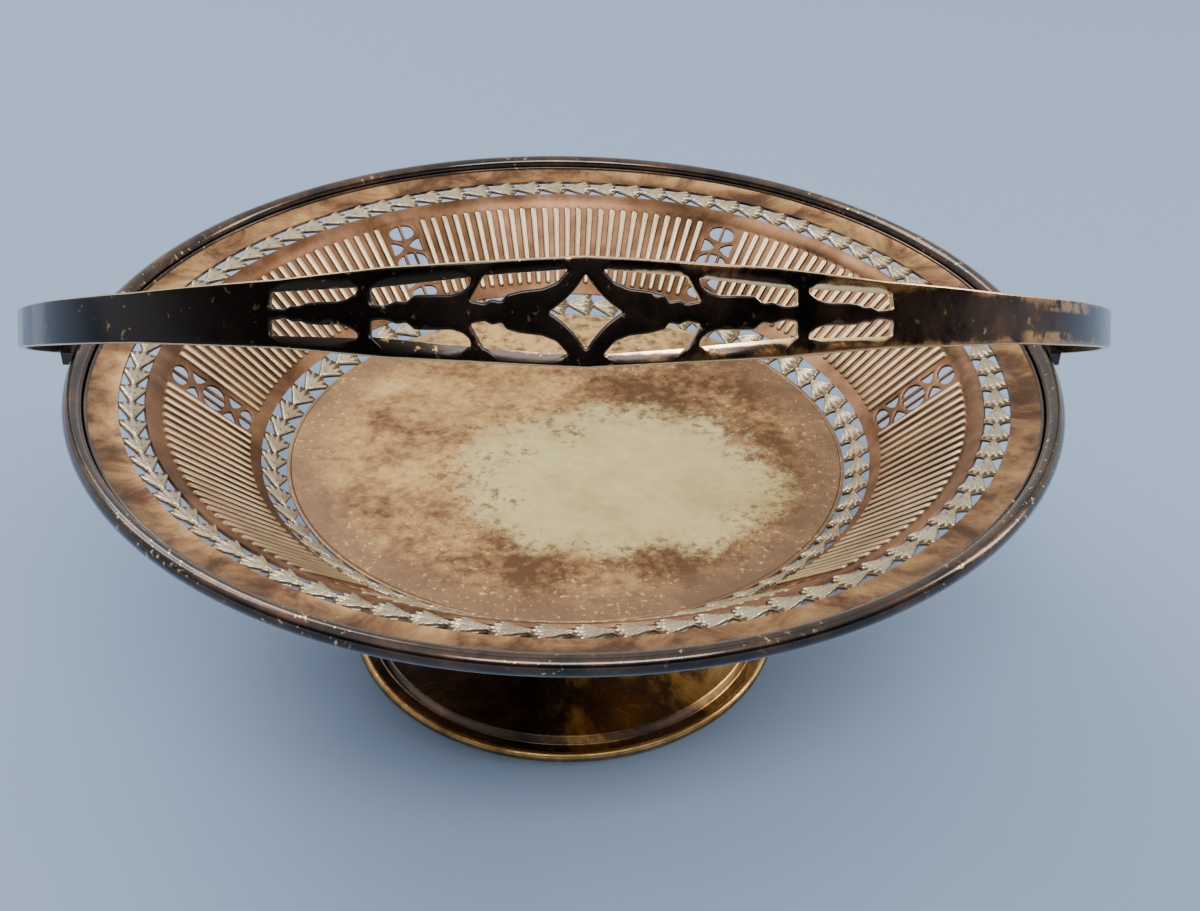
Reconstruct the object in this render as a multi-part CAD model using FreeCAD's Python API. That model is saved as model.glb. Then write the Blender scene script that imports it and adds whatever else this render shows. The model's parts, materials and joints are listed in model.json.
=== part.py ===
import FreeCAD, Part
import math
import os

# Swing-handled cake basket: a pierced and ribbed round dish on a spun pedestal foot, in millimetres.
# The origin is the centre of the foot's underside, +Z is up, and the handle's hinge axis runs along X.

# Dish: radial widths of its rings, from the middle outwards
floor_radius = 77.7
floor_flat_radius = 30.0
inner_band_width = 6.4
lower_ring_width = 2.6
rib_zone_width = 20.2
upper_ring_width = 3.5
outer_band_width = 6.5
flange_width = 7.1
moulding_width = 6.0

# Dish: how far each ring climbs, and the metal's thickness measured upright
floor_rise = 1.4
inner_band_rise = 4.3
wall_rise = 23.9
outer_band_rise = 1.8
flange_rise = 1.5
moulding_rise = 1.1
dish_metal = 1.1

# Height of the rim bead's middle above the table
rim_height = 94.0

# Leaf galleries: counts, the land that touches the rings, the stalk between the notches
inner_leaf_count = 60
outer_leaf_count = 84
gallery_land = 1.7
gallery_stalk = 1.5

# Ribs of the wall
strip_count = 6
ribs_per_panel = 26
first_rib_angle = 4.45
rib_inner_width = 1.7
rib_outer_width = 2.15
rib_height = 0.75
rib_sink = 0.35
rib_flank = 0.5
rib_end_slope = 0.6

# Pierced strips of the wall
strip_half_width = 5.2
strip_small_half_width = 4.3
strip_end_margin = 0.8
strip_web = 1.1
strip_bar = 0.9
strip_oval_sides = 12

# Rim moulding
bead_radius = 2.35
fillet_bead_height = 0.75
groove_angle = 200.0
root_angle = 250.0
bead_facets = 7

# Pedestal foot
foot_radius = 63.6
foot_wire_radius = 1.5
foot_metal = 1.3
foot_lip_width = 3.4
foot_step_width = 1.8
foot_step_rise = 2.2
foot_stem_radius = 17.0
foot_stem_length = 5.0
foot_flare_rise = 8.2
foot_toe_angle = 14.0
foot_toe_reach = 22.0
foot_stem_reach = 20.0
foot_flange_width = 7.0
collar_height = 2.4
collar_lip = 1.6

# Handle: bow and strap
handle_metal = 1.5
handle_reach_over_rim = 4.5
crown_over_rim = 0.0
bow_roundness = 2.2
pivot_rise = 1.7
handle_rest_angle = 31.0
crown_width = 19.9
panel_width = 16.2
shoulder_width = 12.5
taper_width = 9.7
end_width = 8.5
panel_angle = 15.5
shoulder_angle = 24.4
taper_angle = 39.0
end_angle = 69.0

# Handle: pierced panel
diamond_half_angle = 2.9
diamond_half_height = 6.9
diamond_dip = 1.1
pair_count = 3
first_pair_angle = 1.5
pair_length_angle = 6.9
pair_bar_angle = 1.1
pair_edge = 2.1
pair_lean = 1.6

# Hinge
lug_thickness = 2.6
lug_root_width = 11.0
lug_root_depth = 3.6
lug_root_reach = 5.0
lug_eye_radius = 4.0
lug_strap_gap = 0.35
pin_radius = 1.6
pin_running_gap = 0.06
pin_head_radius = 3.0
pin_head_height = 1.1
pin_head_gap = 0.3

# Radii worked out from the widths
r_band_in = floor_radius + inner_band_width
r_rib_in = r_band_in + lower_ring_width
r_rib_out = r_rib_in + rib_zone_width
r_band_out = r_rib_out + upper_ring_width
r_flange = r_band_out + outer_band_width
r_moulding = r_flange + flange_width
rim_radius = r_moulding + moulding_width

# Heights of the dish's upper surface, worked down from the rim
z_moulding = rim_height - moulding_rise
z_flange = z_moulding - flange_rise
z_band_out = z_flange - outer_band_rise
z_band_in = z_band_out - wall_rise
z_floor_edge = z_band_in - inner_band_rise
z_floor = z_floor_edge - floor_rise

# Heights of the foot under the dish: the collar's underside, and where the stem's straight part starts
z_collar = z_floor - dish_metal - collar_height
z_stem = z_collar - foot_metal - foot_flare_rise - foot_stem_length

# Handle's bow worked out from the rim
half_span = rim_radius + handle_reach_over_rim
crown_reach = rim_radius + crown_over_rim
pivot_height = rim_height + pivot_rise

ORIGIN = FreeCAD.Vector(0, 0, 0)
X_AXIS = FreeCAD.Vector(1, 0, 0)
UP = FreeCAD.Vector(0, 0, 1)
DROP = FreeCAD.Vector(0, 0, -dish_metal)


def point(r, z):
    return FreeCAD.Vector(r, 0, z)


def line(a, b):
    return Part.makeLine(a, b)


def arc(a, middle, b):
    return Part.Arc(a, middle, b).toShape()


def curve(points):
    spline = Part.BSplineCurve()
    spline.interpolate(points)
    return spline.toShape()


def face_of(edges):
    return Part.Face(Part.Wire(edges))


def polygon_face(points):
    return Part.Face(Part.makePolygon(points + [points[0]]))


def revolved(edges):
    return face_of(edges).revolve(ORIGIN, UP, 360.0)


def turned(shape, degrees):
    copy = shape.copy()
    copy.rotate(ORIGIN, UP, degrees)
    return copy


def joined(pieces):
    return pieces[0].fuse(pieces[1:]).removeSplitter()


def dish_floor():
    """The pan: flat over the foot, then climbing a little to its edge."""
    corners = [
        point(0, z_floor),
        point(floor_flat_radius, z_floor),
        point(floor_radius, z_floor_edge),
    ]
    under = [corner + DROP for corner in reversed(corners)]
    return polygon_face(corners + under).revolve(ORIGIN, UP, 360.0)


def slanted(r, z_per_r, z_start, r_start, angle):
    """A point of a flat slanted slice of the dish, at a radius and an angle from the slice's middle."""
    a = math.radians(angle)
    x = r * math.cos(a)
    return FreeCAD.Vector(x, r * math.sin(a), z_start + (x - r_start) * z_per_r)


def leaf_band(a, b, count):
    """A ring of leaves between two points of the dish's profile. Each leaf is a flat slanted plate that is
    broad where it touches the plain rings and narrow where it is joined to its neighbours by the stalk."""
    pitch = 360.0 / count
    climb = (b.z - a.z) / (b.x - a.x)
    middle = (a.x + b.x) / 2.0
    half_stalk = gallery_stalk / 2.0
    outline = []
    for r_edge, r_stalk, way in ((a.x, middle - half_stalk, 1.0), (b.x, middle + half_stalk, -1.0)):
        half_land = math.degrees(gallery_land / 2.0 / r_edge)
        for r, angle in (
            (r_stalk, -pitch / 2.0),
            (r_edge, -half_land),
            (r_edge, half_land),
            (r_stalk, pitch / 2.0),
        ):
            outline.append(slanted(r, climb, a.z, a.x, way * angle))
    leaf = polygon_face(outline).extrude(DROP)
    per_sector = count // strip_count
    sector = joined([turned(leaf, pitch * k) for k in range(per_sector)])
    return joined([turned(sector, pitch * per_sector * k) for k in range(strip_count)])


def block(near, far):
    """A solid with flat faces between two four-cornered ends."""
    faces = [polygon_face(near), polygon_face(far)]
    for k in range(4):
        n = (k + 1) % 4
        faces.append(polygon_face([near[k], near[n], far[n], far[k]]))
    solid = Part.Solid(Part.Shell(faces))
    if solid.Volume < 0:
        solid.reverse()
    return solid


def wall_point(r):
    """A point of the wall's upper surface in the X-Z plane."""
    climb = wall_rise / (r_band_out - r_band_in)
    return point(r, z_band_in + (r - r_band_in) * climb)


def rib_zone_at(share):
    """A point of the wall's upper surface at a share of the rib zone, the way up the wall and off it."""
    low = wall_point(r_rib_in)
    high = wall_point(r_rib_out)
    tangent = (high - low).normalize()
    normal = FreeCAD.Vector(-tangent.z, 0, tangent.x)
    return low + (high - low) * share, tangent, normal


def rib_corner(share, side, lift, inset):
    """A corner of a rib: a share of the way up it, on one side, lifted off the wall and drawn in."""
    base, tangent, normal = rib_zone_at(share)
    width = rib_inner_width + (rib_outer_width - rib_inner_width) * share
    return base + normal * lift + FreeCAD.Vector(0, side * (width / 2.0 - inset), 0)


def rib():
    """One embossed bar running up the wall, widening outwards, with sloping flanks and ends."""
    length = (wall_point(r_rib_out) - wall_point(r_rib_in)).Length
    slope = rib_end_slope / length
    ends = []
    for foot, top in ((0.0, slope), (1.0, 1.0 - slope)):
        ends.append([
            rib_corner(foot, -1.0, -rib_sink, 0.0),
            rib_corner(top, -1.0, rib_height, rib_flank),
            rib_corner(top, 1.0, rib_height, rib_flank),
            rib_corner(foot, 1.0, -rib_sink, 0.0),
        ])
    return block(ends[0], ends[1])


def strip_prism(points, placement):
    """A flat outline of the pierced strip, placed on the wall and pushed through the sheet."""
    solid = polygon_face(points).extrude(FreeCAD.Vector(0, 0, 6.0 * dish_metal))
    solid.translate(FreeCAD.Vector(0, 0, -3.0 * dish_metal))
    solid.Placement = placement.multiply(solid.Placement)
    return solid


def strip_frame(share):
    """Where a strip's opening lies: local X up the wall, local Y round the dish, local Z off the sheet."""
    base, tangent, normal = rib_zone_at(share)
    matrix = FreeCAD.Matrix(
        tangent.x, 0, normal.x, base.x,
        0, 1, 0, 0,
        tangent.z, 0, normal.z, base.z,
        0, 0, 0, 1,
    )
    return FreeCAD.Placement(matrix)


def oval_openings(share, half_length, half_width, bars):
    """An oval across the strip, divided by bars that run up the wall."""
    points = []
    for k in range(strip_oval_sides):
        turn = 2.0 * math.pi * (k + 0.5) / strip_oval_sides
        points.append(FreeCAD.Vector(half_length * math.cos(turn), half_width * math.sin(turn), 0))
    solid = strip_prism(points, strip_frame(share))
    for k in range(bars):
        across = (k - (bars - 1) / 2.0) * (2.0 * half_width / (bars + 1.0))
        bar = Part.makeBox(4.0 * half_length, strip_bar, 8.0 * dish_metal)
        bar.translate(FreeCAD.Vector(-2.0 * half_length, across - strip_bar / 2.0, -4.0 * dish_metal))
        bar.Placement = strip_frame(share).multiply(bar.Placement)
        solid = solid.cut(bar)
    return solid


def crossing_openings(share, half_length):
    """Two three-cornered openings, left and right of where the strip's webs cross."""
    openings = []
    for side in (-1.0, 1.0):
        tip = FreeCAD.Vector(0, side * strip_web, 0)
        high = FreeCAD.Vector(half_length, side * strip_half_width, 0)
        low = FreeCAD.Vector(-half_length, side * strip_half_width, 0)
        openings.append(strip_prism([tip, high, low], strip_frame(share)))
    return openings


def strip_openings():
    """The eleven openings of one strip, from the floor side to the rim side."""
    length = (wall_point(r_rib_out) - wall_point(r_rib_in)).Length
    usable = length - 2.0 * strip_end_margin
    # Lengths of the five cells along the strip, in shares that add up to one
    cells = (0.155, 0.165, 0.265, 0.165, 0.185)
    webs = (1.0 - sum(cells)) / 4.0
    centres = []
    start = 0.0
    for cell in cells:
        centres.append((strip_end_margin + usable * (start + cell / 2.0)) / length)
        start += cell + webs
    halves = [cell * usable / 2.0 for cell in cells]
    openings = [
        oval_openings(centres[0], halves[0], strip_small_half_width, 1),
        oval_openings(centres[2], halves[2], strip_half_width, 2),
        oval_openings(centres[4], halves[4], strip_small_half_width, 1),
    ]
    openings += crossing_openings(centres[1], halves[1])
    openings += crossing_openings(centres[3], halves[3])
    return openings


def wall_slice(angle):
    """A flat slice of the plain sloping wall, from the inner gallery to the outer one."""
    spread = math.tan(math.radians(angle / 2.0))
    ends = []
    for r in (r_band_in, r_band_out):
        middle = wall_point(r)
        side = FreeCAD.Vector(0, r * spread, 0)
        ends.append([middle - side, middle + side, middle + side + DROP, middle - side + DROP])
    return block(ends[0], ends[1])


def fluted_wall():
    """Six panels of flat slices with two ribs each, and six pierced strips, turned about the axis."""
    strip_pitch = 360.0 / strip_count
    rib_pitch = (strip_pitch - 2.0 * first_rib_angle) / (ribs_per_panel - 1)
    bars = [turned(rib(), side * rib_pitch / 2.0) for side in (-1.0, 1.0)]
    ribbed = wall_slice(2.0 * rib_pitch).fuse(bars)
    pierced = wall_slice(2.0 * first_rib_angle - rib_pitch).cut(strip_openings())
    first = first_rib_angle + rib_pitch / 2.0
    slices = [turned(ribbed, first + 2.0 * rib_pitch * n) for n in range(ribs_per_panel // 2)]
    sector = joined([pierced] + slices)
    return joined([turned(sector, strip_pitch * k) for k in range(strip_count)])


def rim_flange():
    corners = [point(r_flange, z_flange), point(r_moulding, z_moulding)]
    under = [corner + DROP for corner in reversed(corners)]
    return polygon_face(corners + under).revolve(ORIGIN, UP, 360.0)


def on_bead(degrees):
    angle = math.radians(degrees)
    centre = point(rim_radius - bead_radius, rim_height)
    return centre + point(bead_radius * math.cos(angle), bead_radius * math.sin(angle))


def rim_moulding():
    """The applied edge wire: a heavy bead with a small fillet bead inside it."""
    start = point(r_moulding, z_moulding)
    groove = on_bead(groove_angle)
    fillet_width = groove.x - start.x
    corners = [
        start + DROP,
        start,
        start + point(0.25 * fillet_width, fillet_bead_height),
        start + point(0.7 * fillet_width, fillet_bead_height),
        groove,
    ]
    step = (groove_angle - root_angle + 360.0) / bead_facets
    corners += [on_bead(groove_angle - step * k) for k in range(1, bead_facets + 1)]
    return polygon_face(corners).revolve(ORIGIN, UP, 360.0)


def sweep_curve(inset):
    """The foot's trumpet line from the step up to the stem, moved inwards by inset."""
    toe_radius = foot_radius - foot_wire_radius - foot_lip_width - foot_step_width
    toe = point(toe_radius, foot_top() + foot_step_rise)
    angle = math.radians(foot_toe_angle)
    off_toe = point(-inset * math.sin(angle), -inset * math.cos(angle))
    off_stem = point(-inset, 0)
    poles = [
        toe + off_toe,
        toe + off_toe + point(-foot_toe_reach * math.cos(angle), foot_toe_reach * math.sin(angle)),
        point(foot_stem_radius, z_stem - foot_stem_reach) + off_stem,
        point(foot_stem_radius, z_stem) + off_stem,
    ]
    bezier = Part.BezierCurve()
    bezier.setPoles(poles)
    return bezier.toShape(), poles[0], poles[-1]


def foot_top():
    return foot_wire_radius + foot_metal / 2.0


def pedestal_foot():
    """Hollow spun foot: a flat lip, a rolled step, a trumpet sweep, a short stem and a top flange."""
    lip = point(foot_radius - foot_wire_radius, foot_top())
    step = lip + point(-foot_lip_width, 0)
    down = point(0, -foot_metal)
    outer, toe, neck = sweep_curve(0.0)
    inner, toe_in, neck_in = sweep_curve(foot_metal)
    flare = neck + point(0, foot_stem_length)
    flange = point(foot_stem_radius + foot_flange_width, z_collar - foot_metal)
    flange_top = flange + point(0, foot_metal)
    bore_top = point(neck_in.x, z_collar)
    flare_run = flange - flare
    flare_low = flare + point(0.12 * flare_run.x, 0.5 * flare_run.z)
    flare_high = flare + point(0.5 * flare_run.x, 0.88 * flare_run.z)
    edges = [
        line(lip, step),
        line(step, toe),
        outer,
        line(neck, flare),
        line(flare, flare_low),
        line(flare_low, flare_high),
        line(flare_high, flange),
        line(flange, flange_top),
        line(flange_top, bore_top),
        line(bore_top, neck_in),
        inner,
        line(toe_in, step + down),
        line(step + down, lip + down),
        line(lip + down, lip),
    ]
    return revolved(edges)


def foot_ring():
    """The wire round the foot's edge, soldered to the pedestal's lip."""
    inner = foot_radius - foot_wire_radius
    half = foot_wire_radius / 2.0
    high = 2.0 * foot_wire_radius
    corners = [
        point(inner, 0),
        point(inner + half, 0),
        point(foot_radius, half),
        point(foot_radius, high - half),
        point(inner + half, high),
        point(inner, high),
    ]
    return polygon_face(corners).revolve(ORIGIN, UP, 360.0)


def foot_collar():
    """The flange between the stem and the dish's underside, its lower edge bevelled."""
    inner = foot_stem_radius - foot_metal
    outer = foot_stem_radius + foot_flange_width + collar_lip
    low = z_collar
    high = low + collar_height
    corners = [
        point(inner, low),
        point(outer - collar_lip, low),
        point(outer, high - collar_height / 3.0),
        point(outer, high),
        point(inner, high),
    ]
    return polygon_face(corners).revolve(ORIGIN, UP, 360.0)


def bow_point(angle):
    """A point of the bow's middle line at an angle from the crown, in its own plane: X across, Y up."""
    a = math.radians(angle)
    across = abs(math.sin(a)) / half_span
    up = abs(math.cos(a)) / crown_reach
    reach = (across ** bow_roundness + up ** bow_roundness) ** (-1.0 / bow_roundness)
    return FreeCAD.Vector(reach * math.sin(a), reach * math.cos(a), 0)


def bow_normal(angle):
    """The outward normal of the bow's middle line."""
    step = 0.05
    run = bow_point(angle + step) - bow_point(angle - step)
    return FreeCAD.Vector(-run.y, run.x, 0).normalize()


def bow_line(offset):
    """The bow's line, moved outwards by offset, from the left pivot over the crown to the right pivot."""
    stations = 16
    points = []
    for k in range(stations + 1):
        angle = -90.0 + 180.0 * k / stations
        points.append(bow_point(angle) + bow_normal(angle) * offset)
    points[0] = FreeCAD.Vector(-half_span - offset, 0, 0)
    points[-1] = FreeCAD.Vector(half_span + offset, 0, 0)
    return curve(points), points[0], points[-1]


def strap_half_width(angle):
    """Half the strap's width at an angle from the crown, straight between the named stations."""
    stations = (0.0, panel_angle, shoulder_angle, taper_angle, end_angle, 90.0)
    widths = (crown_width, panel_width, shoulder_width, taper_width, end_width, end_width)
    a = min(abs(angle), 90.0)
    for k in range(len(stations) - 1):
        if a <= stations[k + 1]:
            share = (a - stations[k]) / (stations[k + 1] - stations[k])
            return (widths[k] + (widths[k + 1] - widths[k]) * share) / 2.0
    return end_width / 2.0


def strap_outline():
    """The strap seen along its plane's upright: broad at the crown, slender at the ends."""
    stations = (-end_angle, -taper_angle, -shoulder_angle, -panel_angle, 0.0)
    stations += (panel_angle, shoulder_angle, taper_angle, end_angle)
    reach = half_span + handle_metal
    upper = [FreeCAD.Vector(bow_point(a).x, 0, strap_half_width(a)) for a in stations]
    lower = [FreeCAD.Vector(p.x, 0, -p.z) for p in reversed(upper)]
    right_high = FreeCAD.Vector(reach, 0, end_width / 2.0)
    right_low = FreeCAD.Vector(reach, 0, -end_width / 2.0)
    left_low = FreeCAD.Vector(-reach, 0, -end_width / 2.0)
    left_high = FreeCAD.Vector(-reach, 0, end_width / 2.0)
    edges = [
        line(left_high, upper[0]),
        curve(upper),
        line(upper[-1], right_high),
        line(right_high, right_low),
        line(right_low, lower[0]),
        curve(lower),
        line(lower[-1], left_low),
        line(left_low, left_high),
    ]
    low = -2.0 * end_width
    solid = face_of(edges).extrude(FreeCAD.Vector(0, crown_reach + 3.0 * end_width, 0))
    solid.translate(FreeCAD.Vector(0, low, 0))
    return solid


def strap_ends():
    """What keeps the strap's ends round about the pivots, seen along the hinge axis."""
    eye = end_width / 2.0
    wide = crown_width
    high = crown_reach + crown_width
    edges = [
        line(FreeCAD.Vector(0, 0, -wide), FreeCAD.Vector(0, high, -wide)),
        line(FreeCAD.Vector(0, high, -wide), FreeCAD.Vector(0, high, wide)),
        line(FreeCAD.Vector(0, high, wide), FreeCAD.Vector(0, 0, wide)),
        line(FreeCAD.Vector(0, 0, wide), FreeCAD.Vector(0, 0, eye)),
        arc(FreeCAD.Vector(0, 0, eye), FreeCAD.Vector(0, -eye, 0), FreeCAD.Vector(0, 0, -eye)),
        line(FreeCAD.Vector(0, 0, -eye), FreeCAD.Vector(0, 0, -wide)),
    ]
    length = 2.0 * (half_span + handle_metal)
    solid = face_of(edges).extrude(FreeCAD.Vector(length, 0, 0))
    solid.translate(FreeCAD.Vector(-length / 2.0, 0, 0))
    return solid


def through_strap(edges, angle):
    """A flat outline, X along the strap and Y across, placed at an angle from the crown and pushed through."""
    depth = 6.0 * handle_metal
    solid = face_of(edges).extrude(FreeCAD.Vector(0, 0, depth))
    solid.translate(FreeCAD.Vector(0, 0, -depth / 2.0))
    here = bow_point(angle)
    normal = bow_normal(angle)
    along = FreeCAD.Vector(normal.y, -normal.x, 0)
    matrix = FreeCAD.Matrix(
        along.x, 0, normal.x, here.x,
        along.y, 0, normal.y, here.y,
        0, -1, 0, 0,
        0, 0, 0, 1,
    )
    solid.Placement = FreeCAD.Placement(matrix).multiply(solid.Placement)
    return solid


def diamond_opening():
    """The four-cornered opening at the crown, its sides drawn in."""
    half_length = crown_reach * math.radians(diamond_half_angle)
    corners = [(half_length, 0), (0, diamond_half_height), (-half_length, 0), (0, -diamond_half_height)]
    points = [FreeCAD.Vector(x, y, 0) for x, y in corners]
    edges = []
    for a, b in zip(points, points[1:] + points[:1]):
        middle = (a + b) * 0.5
        inwards = FreeCAD.Vector(-middle.x, -middle.y, 0).normalize()
        edges.append(arc(a, middle + inwards * diamond_dip, b))
    return through_strap(edges, 0.0)


def husk_opening(index, side, flip):
    """One opening beside a husk: its outer edge follows the strap and its inner edge follows the husk."""
    start = first_pair_angle + index * (pair_length_angle + pair_bar_angle)
    end = start + pair_length_angle
    middle = (start + end) / 2.0
    length = math.radians(pair_length_angle) * crown_reach
    top_in = strap_half_width(start) - pair_edge
    top_out = strap_half_width(end) - pair_edge
    # Husk line, in shares of the opening's length and height: a hollow flare, then a round knob
    flare = ((0.04, 0.85), (0.22, 0.50), (0.58, 0.37))
    knob = ((0.58, 0.37), (0.70, 0.22), (0.86, 0.13))

    def husk_point(share, height):
        top = top_in + (top_out - top_in) * share
        return (length * (share - 0.5), top * height)

    first = (-length / 2.0, top_in)
    last = (length / 2.0, top_out)
    lean = pair_lean if index < pair_count - 1 else 0.0
    corner = (length / 2.0 + lean, husk_point(1.0, 0.12)[1])

    def place(xy):
        return FreeCAD.Vector(side * xy[0], flip * xy[1], 0)

    flare_line = [place(husk_point(*p)) for p in flare]
    knob_line = [place(husk_point(*p)) for p in knob]
    edges = [
        line(place(first), flare_line[0]),
        arc(*flare_line),
        arc(*knob_line),
        line(knob_line[-1], place(corner)),
        line(place(corner), place(last)),
        line(place(last), place(first)),
    ]
    return through_strap(edges, side * middle)


def handle_strap():
    """The swing handle, built lying in the X-Y plane with its pivots on the X axis."""
    outer, outer_left, outer_right = bow_line(handle_metal / 2.0)
    inner, inner_left, inner_right = bow_line(-handle_metal / 2.0)
    tail = FreeCAD.Vector(0, -end_width, 0)
    edges = [
        outer,
        line(outer_right, outer_right + tail),
        line(outer_right + tail, inner_right + tail),
        line(inner_right + tail, inner_right),
        inner,
        line(inner_left, inner_left + tail),
        line(inner_left + tail, outer_left + tail),
        line(outer_left + tail, outer_left),
    ]
    band = face_of(edges).extrude(FreeCAD.Vector(0, 0, 2.0 * crown_width))
    band.translate(FreeCAD.Vector(0, 0, -crown_width))
    strap = band.common(strap_outline()).common(strap_ends())
    cuts = [diamond_opening()]
    for index in range(pair_count):
        for side in (-1.0, 1.0):
            for flip in (-1.0, 1.0):
                cuts.append(husk_opening(index, side, flip))
    for side in (-1.0, 1.0):
        hole = Part.makeCylinder(pin_radius + pin_running_gap, 4.0 * handle_metal, ORIGIN, X_AXIS)
        hole.translate(FreeCAD.Vector(side * half_span - 2.0 * handle_metal, 0, 0))
        cuts.append(hole)
    strap = strap.cut(cuts)
    # Stood up by the rest angle towards -Y, on the hinge axis
    strap.rotate(ORIGIN, X_AXIS, 180.0 - handle_rest_angle)
    strap.translate(FreeCAD.Vector(0, 0, pivot_height))
    return strap


def hinge_lug(moulding, flange, bore):
    """The ear on the rim that carries the handle's right end, saddled under the rim bead."""
    face = half_span - handle_metal / 2.0 - lug_strap_gap
    inner = face - lug_thickness
    low = rim_height - lug_root_depth
    half_root = lug_root_width / 2.0
    rise = pivot_height - rim_height
    left = FreeCAD.Vector(inner, -half_root, low)
    right = FreeCAD.Vector(inner, half_root, low)
    left_eye = FreeCAD.Vector(inner, -lug_eye_radius, pivot_height)
    right_eye = FreeCAD.Vector(inner, lug_eye_radius, pivot_height)
    top = FreeCAD.Vector(inner, 0, pivot_height + lug_eye_radius)
    left_waist = FreeCAD.Vector(inner, -half_root, rim_height - rise)
    right_waist = FreeCAD.Vector(inner, half_root, rim_height - rise)
    edges = [
        line(left, left_waist),
        line(left_waist, left_eye),
        arc(left_eye, top, right_eye),
        line(right_eye, right_waist),
        line(right_waist, right),
        line(right, left),
    ]
    ear = face_of(edges).extrude(FreeCAD.Vector(lug_thickness, 0, 0))
    saddle = Part.makeBox(lug_root_reach + lug_thickness, lug_root_width, lug_root_depth)
    saddle.translate(FreeCAD.Vector(inner - lug_root_reach, -half_root, low))
    return ear.fuse(saddle).cut([moulding, flange, bore]).removeSplitter()


def hinge_pin():
    """A rivet: flush in the lug, a running shank through the strap and a low domed head outside."""
    start = half_span - handle_metal / 2.0 - lug_strap_gap - lug_thickness
    head = half_span + handle_metal / 2.0 + pin_head_gap
    outline = [
        (start, 0.0),
        (start, pin_radius),
        (head, pin_radius),
        (head, pin_head_radius),
        (head + 0.4 * pin_head_height, 0.9 * pin_head_radius),
        (head + pin_head_height, 0.45 * pin_head_radius),
        (head + pin_head_height, 0.0),
    ]
    corners = [FreeCAD.Vector(x, 0, pivot_height + r) for x, r in outline]
    return polygon_face(corners).revolve(FreeCAD.Vector(0, 0, pivot_height), -X_AXIS, 360.0)


def save(name, shape):
    shape.exportStep("parts/" + name + ".step")


os.makedirs("parts", exist_ok=True)

inner_a = point(floor_radius, z_floor_edge)
inner_b = point(r_band_in, z_band_in)
outer_a = point(r_band_out, z_band_out)
outer_b = point(r_flange, z_flange)

save("dish_floor", dish_floor())
save("inner_leaf_band", leaf_band(inner_a, inner_b, inner_leaf_count))
save("fluted_wall", fluted_wall())
save("outer_leaf_band", leaf_band(outer_a, outer_b, outer_leaf_count))

flange = rim_flange()
moulding = rim_moulding()
save("rim_flange", flange)
save("rim_moulding", moulding)

save("pedestal_foot", pedestal_foot())
save("foot_ring", foot_ring())
save("foot_collar", foot_collar())

save("handle_strap", handle_strap())

pin = hinge_pin()
lug = hinge_lug(moulding, flange, pin)
save("hinge_pin_right", pin)
save("hinge_lug_right", lug)
save("hinge_pin_left", turned(pin, 180.0))
save("hinge_lug_left", turned(lug, 180.0))
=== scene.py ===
import bpy
import json
import math
import numpy as np
from mathutils import Matrix, Vector
from mathutils.geometry import delaunay_2d_cdt


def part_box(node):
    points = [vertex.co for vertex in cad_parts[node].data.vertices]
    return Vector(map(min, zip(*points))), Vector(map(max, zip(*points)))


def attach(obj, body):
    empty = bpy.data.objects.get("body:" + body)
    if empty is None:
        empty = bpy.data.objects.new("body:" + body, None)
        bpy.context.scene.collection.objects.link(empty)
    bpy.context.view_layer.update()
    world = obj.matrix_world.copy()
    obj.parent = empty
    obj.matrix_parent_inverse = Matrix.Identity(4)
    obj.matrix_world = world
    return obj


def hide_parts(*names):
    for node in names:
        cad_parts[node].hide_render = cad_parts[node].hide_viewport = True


# Swing-handled cake basket of tarnished silver plate: a pierced, ribbed dish on a pedestal foot.
# Lengths are in metres; sizes written with MM are the ornament's sizes in millimetres.
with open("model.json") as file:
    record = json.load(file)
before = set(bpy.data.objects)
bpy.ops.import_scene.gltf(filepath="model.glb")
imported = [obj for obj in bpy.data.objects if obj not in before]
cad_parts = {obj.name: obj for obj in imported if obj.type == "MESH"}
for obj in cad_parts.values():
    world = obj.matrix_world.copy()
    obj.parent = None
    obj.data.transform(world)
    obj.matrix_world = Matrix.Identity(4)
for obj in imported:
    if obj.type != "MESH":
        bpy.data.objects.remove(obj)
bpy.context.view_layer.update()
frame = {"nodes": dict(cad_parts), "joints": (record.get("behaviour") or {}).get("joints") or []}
MM = 0.001

# Camera: focal length, sensor, how far it looks down, its roll, its heading, its place
LENS = 42.0
SENSOR_WIDTH = 36.0
PITCH = 33.79
ROLL = 1.6
HEADING = -3.15
CAMERA_PLACE = (-0.00884, -0.33072, 0.27912)

# Dish rings, from the frame: radii, heights of the upper surface, the sheet's upright thickness
INNER_BAND_WIDTH = 6.4 * MM
LOWER_RING_WIDTH = 2.6 * MM
RIB_ZONE_WIDTH = 20.2 * MM
UPPER_RING_WIDTH = 3.5 * MM
OUTER_BAND_WIDTH = 6.5 * MM
FLANGE_WIDTH = 7.1 * MM
DISH_METAL = 1.1 * MM
WALL_METAL = 0.82 * MM
FLANGE_METAL = 0.9 * MM
FLOOR_RISE_START = 24.0 * MM
R_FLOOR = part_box("dish_floor")[1].x
R_BAND_IN = R_FLOOR + INNER_BAND_WIDTH
R_RIB_IN = R_BAND_IN + LOWER_RING_WIDTH
R_RIB_OUT = R_RIB_IN + RIB_ZONE_WIDTH
R_BAND_OUT = R_RIB_OUT + UPPER_RING_WIDTH
R_FLANGE = R_BAND_OUT + OUTER_BAND_WIDTH
R_MOULDING = R_FLANGE + FLANGE_WIDTH
R_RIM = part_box("rim_moulding")[1].x
Z_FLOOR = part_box("dish_floor")[0].z + DISH_METAL
Z_FLOOR_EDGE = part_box("dish_floor")[1].z
Z_BAND_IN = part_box("inner_leaf_band")[1].z
Z_BAND_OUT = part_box("fluted_wall")[1].z
Z_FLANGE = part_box("outer_leaf_band")[1].z
Z_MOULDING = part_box("rim_flange")[1].z
BEAD_RADIUS = 2.35 * MM
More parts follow.
